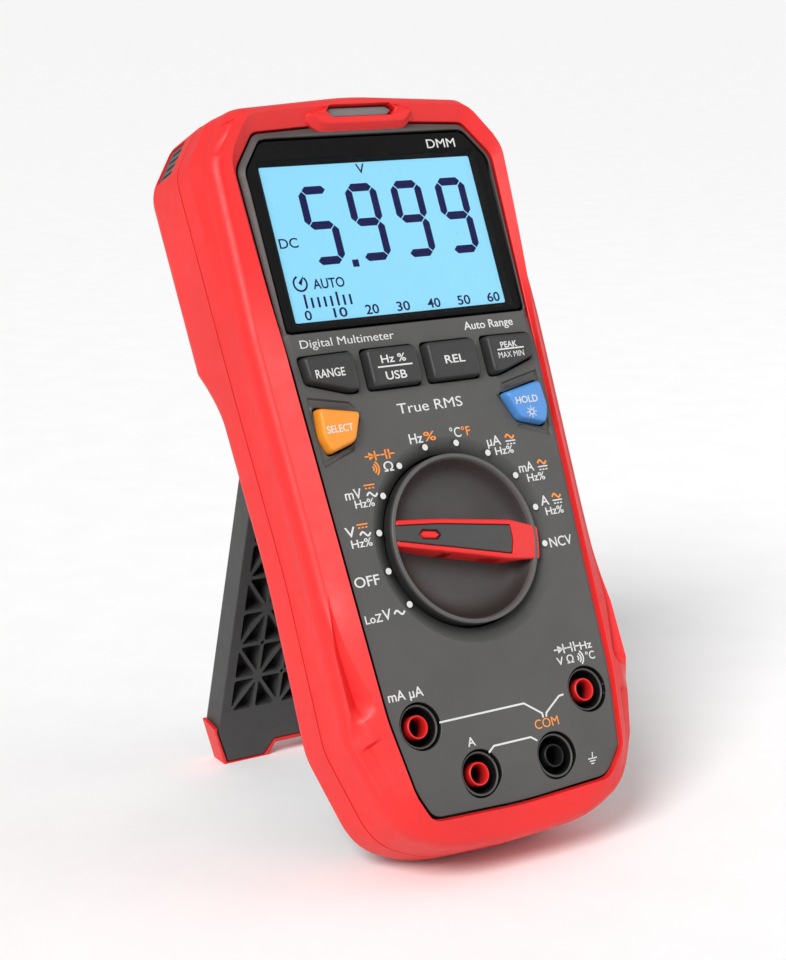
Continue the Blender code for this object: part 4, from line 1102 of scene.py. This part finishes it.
class Print:
    """Thin printed shapes that lie on a surface, gathered into one piece."""

    def __init__(self, surface, thick=0.03):
        self.bm = bmesh.new()
        self.surface = surface
        self.thick = thick

    def words(self, text, left, right, v, height, weight=0.03):
        data = bpy.data.curves.new("words", "FONT")
        data.body = text
        data.size = height / CAPITAL
        data.offset = 0.0 if "M" in text else weight  # thicker strokes would cross inside an M
        data.extrude = self.thick
        data.resolution_u = 4
        obj = add_object("words", data)
        graph = bpy.context.evaluated_depsgraph_get()
        mesh = bpy.data.meshes.new_from_object(obj.evaluated_get(graph))
        bpy.data.objects.remove(obj)
        across = [vertex.co.x for vertex in mesh.vertices]
        scale = (right - left) / (max(across) - min(across))
        for vertex in mesh.vertices:
            x, y = left + (vertex.co.x - min(across)) * scale, v + vertex.co.y
            vertex.co = (x, y, self.surface(y) + vertex.co.z)
        self.bm.from_mesh(mesh)

    def shape(self, outline):
        sheets = [at(outline, lambda v, h=h: self.surface(v) + h) for h in (-self.thick, self.thick)]
        loft(sheets, capped=True, bm=self.bm)

    def line(self, points, half=LINE):
        self.shape(band_outline(points, half))

    def arc(self, x, v, radius, start, end, half=LINE, steps=16):
        angles = [math.radians(start + (end - start) * k / steps) for k in range(steps + 1)]
        self.line([(x + radius * math.cos(a), v + radius * math.sin(a)) for a in angles], half)

    def alternating(self, x, v, reach=1.35):
        points = [(x + reach * k / 8, v - 0.5 * math.sin(math.pi * k / 8)) for k in range(-8, 9)]
        self.line(points, 0.23)

    def direct(self, x, v, reach=1.35):
        """A line over three dashes."""
        self.line([(x - reach, v + 0.4), (x + reach, v + 0.4)], 0.16)
        for k in (-1, 0, 1):
            middle = x + k * reach * 0.72
            self.line([(middle - 0.14, v - 0.35), (middle + 0.14, v - 0.35)], 0.16)

    def diode(self, x, v):
        self.line([(x - 1.9, v), (x + 1.9, v)], 0.17)
        self.shape([(x - 0.9, v + 0.95), (x + 0.8, v), (x - 0.9, v - 0.95)])
        self.line([(x + 0.85, v + 0.95), (x + 0.85, v - 0.95)], 0.2)

    def capacitor(self, x, v):
        for side in (-1, 1):
            self.line([(x + side * 0.45, v), (x + side * 1.8, v)], 0.17)
            self.line([(x + side * 0.45, v + 0.95), (x + side * 0.45, v - 0.95)], 0.2)

    def waves(self, x, v):
        for radius in (0.5, 1.2, 1.9):
            self.arc(x - 0.9, v, radius, -50, 50, 0.19, 8)

    def ground(self, x, v):
        self.line([(x, v + 1.3), (x, v)], 0.14)
        for half, drop in ((1.2, 0.0), (0.75, 0.6), (0.3, 1.2)):
            self.line([(x - half, v - drop), (x + half, v - drop)], 0.14)

    def lamp(self, x, v):
        self.arc(x, v, 0.62, 0, 360, 0.14)
        for k in range(8):
            a = math.radians(45 * k)
            self.line([(x + r * math.cos(a), v + r * math.sin(a)) for r in (0.95, 1.4)], 0.1)

    def finish(self, name, body="case", slot="white_plastic", material="print_white"):
        piece(name, self.bm, FACE, body, slot, material=material)


def panel_print():
    white, orange = Print(panel_h), Print(panel_h)
    for entry in PANEL_WHITE:
        white.words(*entry)
    for entry in PANEL_ORANGE:
        orange.words(*entry)
    for k in range(MARKS):
        angle = math.radians(FIRST_MARK - MARK_STEP * k)
        x, v = MARK_CIRCLE * math.cos(angle), MARK_CIRCLE * math.sin(angle)
        white.shape(circle(MARK_RADIUS, 24, x, v))
    for x, v in DIRECT_FIRST:
        orange.direct(x, v)
        white.alternating(x + 0.3, v - 1.9)
    white.alternating(-22.6, -14.3)
    for x, v in ALTERNATING_FIRST:
        orange.alternating(x, v, 1.2)
        white.direct(x, v - 1.5, 1.3)
    orange.diode(-19.7, 22.6)
    orange.capacitor(-15.4, 22.6)
    orange.waves(-19.6, 19.6)
    white.diode(19.6, -30.2)
    white.capacitor(23.3, -30.2)
    white.waves(24.6, -33.1)
    for points in JACK_LINES:
        white.line(points)
    white.ground(*GROUND)
    white.finish("panel_print_white")
    orange.finish("panel_print_orange", slot="key_orange", material="print_orange")


def key_print():
    for name, entries in KEY_WORDS.items():
        white = Print(lambda v: KEY_TOP)
        for entry in entries:
            white.words(*entry)
        if name in KEY_LINES:
            white.line(KEY_LINES[name], 0.18)
        if name == "hold":
            white.lamp(*LAMP)
        white.finish(f"{name}_print", f"{name}_key")


# Display

DIGIT_LEFT = -21.4
DIGIT_PITCH = 13.2
DIGIT_WIDTH = 9.0
DIGIT_LOW = 69.7
DIGIT_HIGH = 89.2
STROKE = 1.0  # half width of a display segment
SEGMENTS = {"5": "afgcd", "9": "abfgcd"}
POINT = [(-10.9, 70.4), (-9.1, 70.4), (-9.1, 68.6), (-10.9, 68.6)]
SCALE_LEFT = -26.6  # the bar graph's 0 is centred here
SCALE_PITCH = 9.0
BAR_PITCH = 1.78
CLOCK = (-26.7, 65.7)
CLOCK_HAND = [(-25.4, 67.6), (-27.2, 65.9), (-26.4, 65.2)]


def segment_outline(a, b):
    """A segment from a to b with pointed ends, a little short of both."""
    a, b = Vector(a), Vector(b)
    along = (b - a).normalized()
    across = Vector((-along.y, along.x)) * STROKE
    start, end = a + along * 0.18, b - along * 0.18
    first, last = start + along * STROKE, end - along * STROKE
    points = [start, first + across, last + across, end, last - across, first - across]
    return [tuple(point) for point in points]


def digit(ink, character, left):
    right, middle = left + DIGIT_WIDTH, (DIGIT_LOW + DIGIT_HIGH) / 2
    x0, x1 = left + STROKE, right - STROKE
    low, high = DIGIT_LOW + STROKE, DIGIT_HIGH - STROKE
    ends = {
        "a": ((x0, high), (x1, high)), "b": ((x1, high), (x1, middle)), "c": ((x1, middle), (x1, low)),
        "d": ((x0, low), (x1, low)), "f": ((x0, high), (x0, middle)), "g": ((x0, middle), (x1, middle)),
    }
    for key in SEGMENTS[character]:
        ink.shape(segment_outline(*ends[key]))


def bar_graph(ink):
    for k in range(7):
        text = str(10 * k)
        middle = SCALE_LEFT + SCALE_PITCH * k
        ink.words(text, middle - 0.95 * len(text), middle + 0.95 * len(text), 56.8, 2.3, 0.05)
    for k in range(8):
        x, top = SCALE_LEFT + 0.2 + BAR_PITCH * k, 62.7 if k in (0, 5) else 61.8
        ink.line([(x, 59.9), (x, top)], 0.3)


def display_print():
    ink = Print(lambda v: LCD_TOP, 0.02)
    for k, character in enumerate("5999"):
        digit(ink, character, DIGIT_LEFT + DIGIT_PITCH * k)
    ink.shape(POINT)
    ink.words("V", -3.4, -0.9, 91.7, 2.4)
    ink.words("DC", -29.8, -24.6, 74.5, 2.4)
    ink.words("AUTO", -23.3, -14.5, 64.1, 2.4, 0.05)
    bar_graph(ink)
    ink.arc(*CLOCK, 1.8, 115, 400, 0.24, 20)
    ink.shape(CLOCK_HAND)
    ink.finish("display_ink", slot="display_blue", material="lcd_ink")

    mark = Print(lambda v: -0.22, 0.02)
    mark.words(*BORDER_WORD)
    mark.finish("border_print")


# Camera, light and floor

def camera():
    data = bpy.data.cameras.new("camera")
    data.sensor_fit = "VERTICAL"
    data.sensor_height = 36.0
    data.lens = 85.65
    data.clip_start = 0.01
    obj = add_object("camera", data)
    obj.location = (-0.31070, -0.446432, 0.210007)
    obj.rotation_euler = [math.radians(turn) for turn in (76.925, -0.247, -34.72)]
    bpy.context.scene.camera = obj


SUN_FROM = (-0.75, -0.45, 0.7)
FILL_PLACE = (0.9, -0.6, 0.5)
FILL_AIM = (0, 0, 0.09)


def soft_fill():
    data = bpy.data.lights.new("fill_light", "AREA")
    data.shape = "DISK"
    data.size = 0.9
    data.energy = 2.5
    obj = add_object("fill_light", data)
    obj.location = FILL_PLACE
    obj.rotation_euler = (Vector(FILL_AIM) - Vector(FILL_PLACE)).to_track_quat("-Z", "Y").to_euler()


def soft_sun():
    data = bpy.data.lights.new("sun", "SUN")
    data.angle = math.radians(25)
    data.energy = 2.8
    obj = add_object("sun", data)
    obj.rotation_euler = Vector(SUN_FROM).to_track_quat("Z", "Y").to_euler()


def studio():
    bm = bmesh.new()
    bmesh.ops.create_grid(bm, x_segments=1, y_segments=1, size=30.0)
    floor = new_object("floor", bm, Matrix.Identity(4))
    pale = moulded("pale_floor", (0.92, 0.92, 0.92), 0.7, mottle=0.01, grain=400.0, depth=0.02)
    floor.data.materials.append(pale)
    soft_sun()
    soft_fill()
    world = bpy.data.worlds.new("studio")
    world.use_nodes = True
    background = world.node_tree.nodes["Background"]
    background.inputs["Color"].default_value = (1, 1, 1, 1)
    background.inputs["Strength"].default_value = 0.5
    bpy.context.scene.world = world
    bpy.context.scene.view_settings.view_transform = "Standard"


def main():
    dress_cad_nodes()
    front_overmould()
    parting_seam()
    sensor_slot()
    front_panel()
    display()
    keys()
    dial_dish()
    dial_bar()
    dial_insert()
    jacks()
    rear_overmould()
    vents()
    stand_plate()
    stand_barrel()
    stand_edge()
    panel_print()
    key_print()
    display_print()
    camera()
    studio()


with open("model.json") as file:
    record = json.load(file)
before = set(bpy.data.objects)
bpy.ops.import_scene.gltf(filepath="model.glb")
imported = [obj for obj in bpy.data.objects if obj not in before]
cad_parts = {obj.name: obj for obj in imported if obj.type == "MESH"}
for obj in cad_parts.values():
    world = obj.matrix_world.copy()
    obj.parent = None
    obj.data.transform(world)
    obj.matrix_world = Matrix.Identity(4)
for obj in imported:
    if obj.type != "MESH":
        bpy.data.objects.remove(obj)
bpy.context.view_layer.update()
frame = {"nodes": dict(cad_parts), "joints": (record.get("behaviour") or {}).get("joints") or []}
FACE = leaning(joint_point("dial_turn"), LEAN)
STAND = leaning(joint_point("stand_fold"), -STAND_TILT)
DIAL = FACE @ Matrix.Rotation(math.radians(DIAL_TURN), 4, "Z")
finishes = all_finishes()
main()
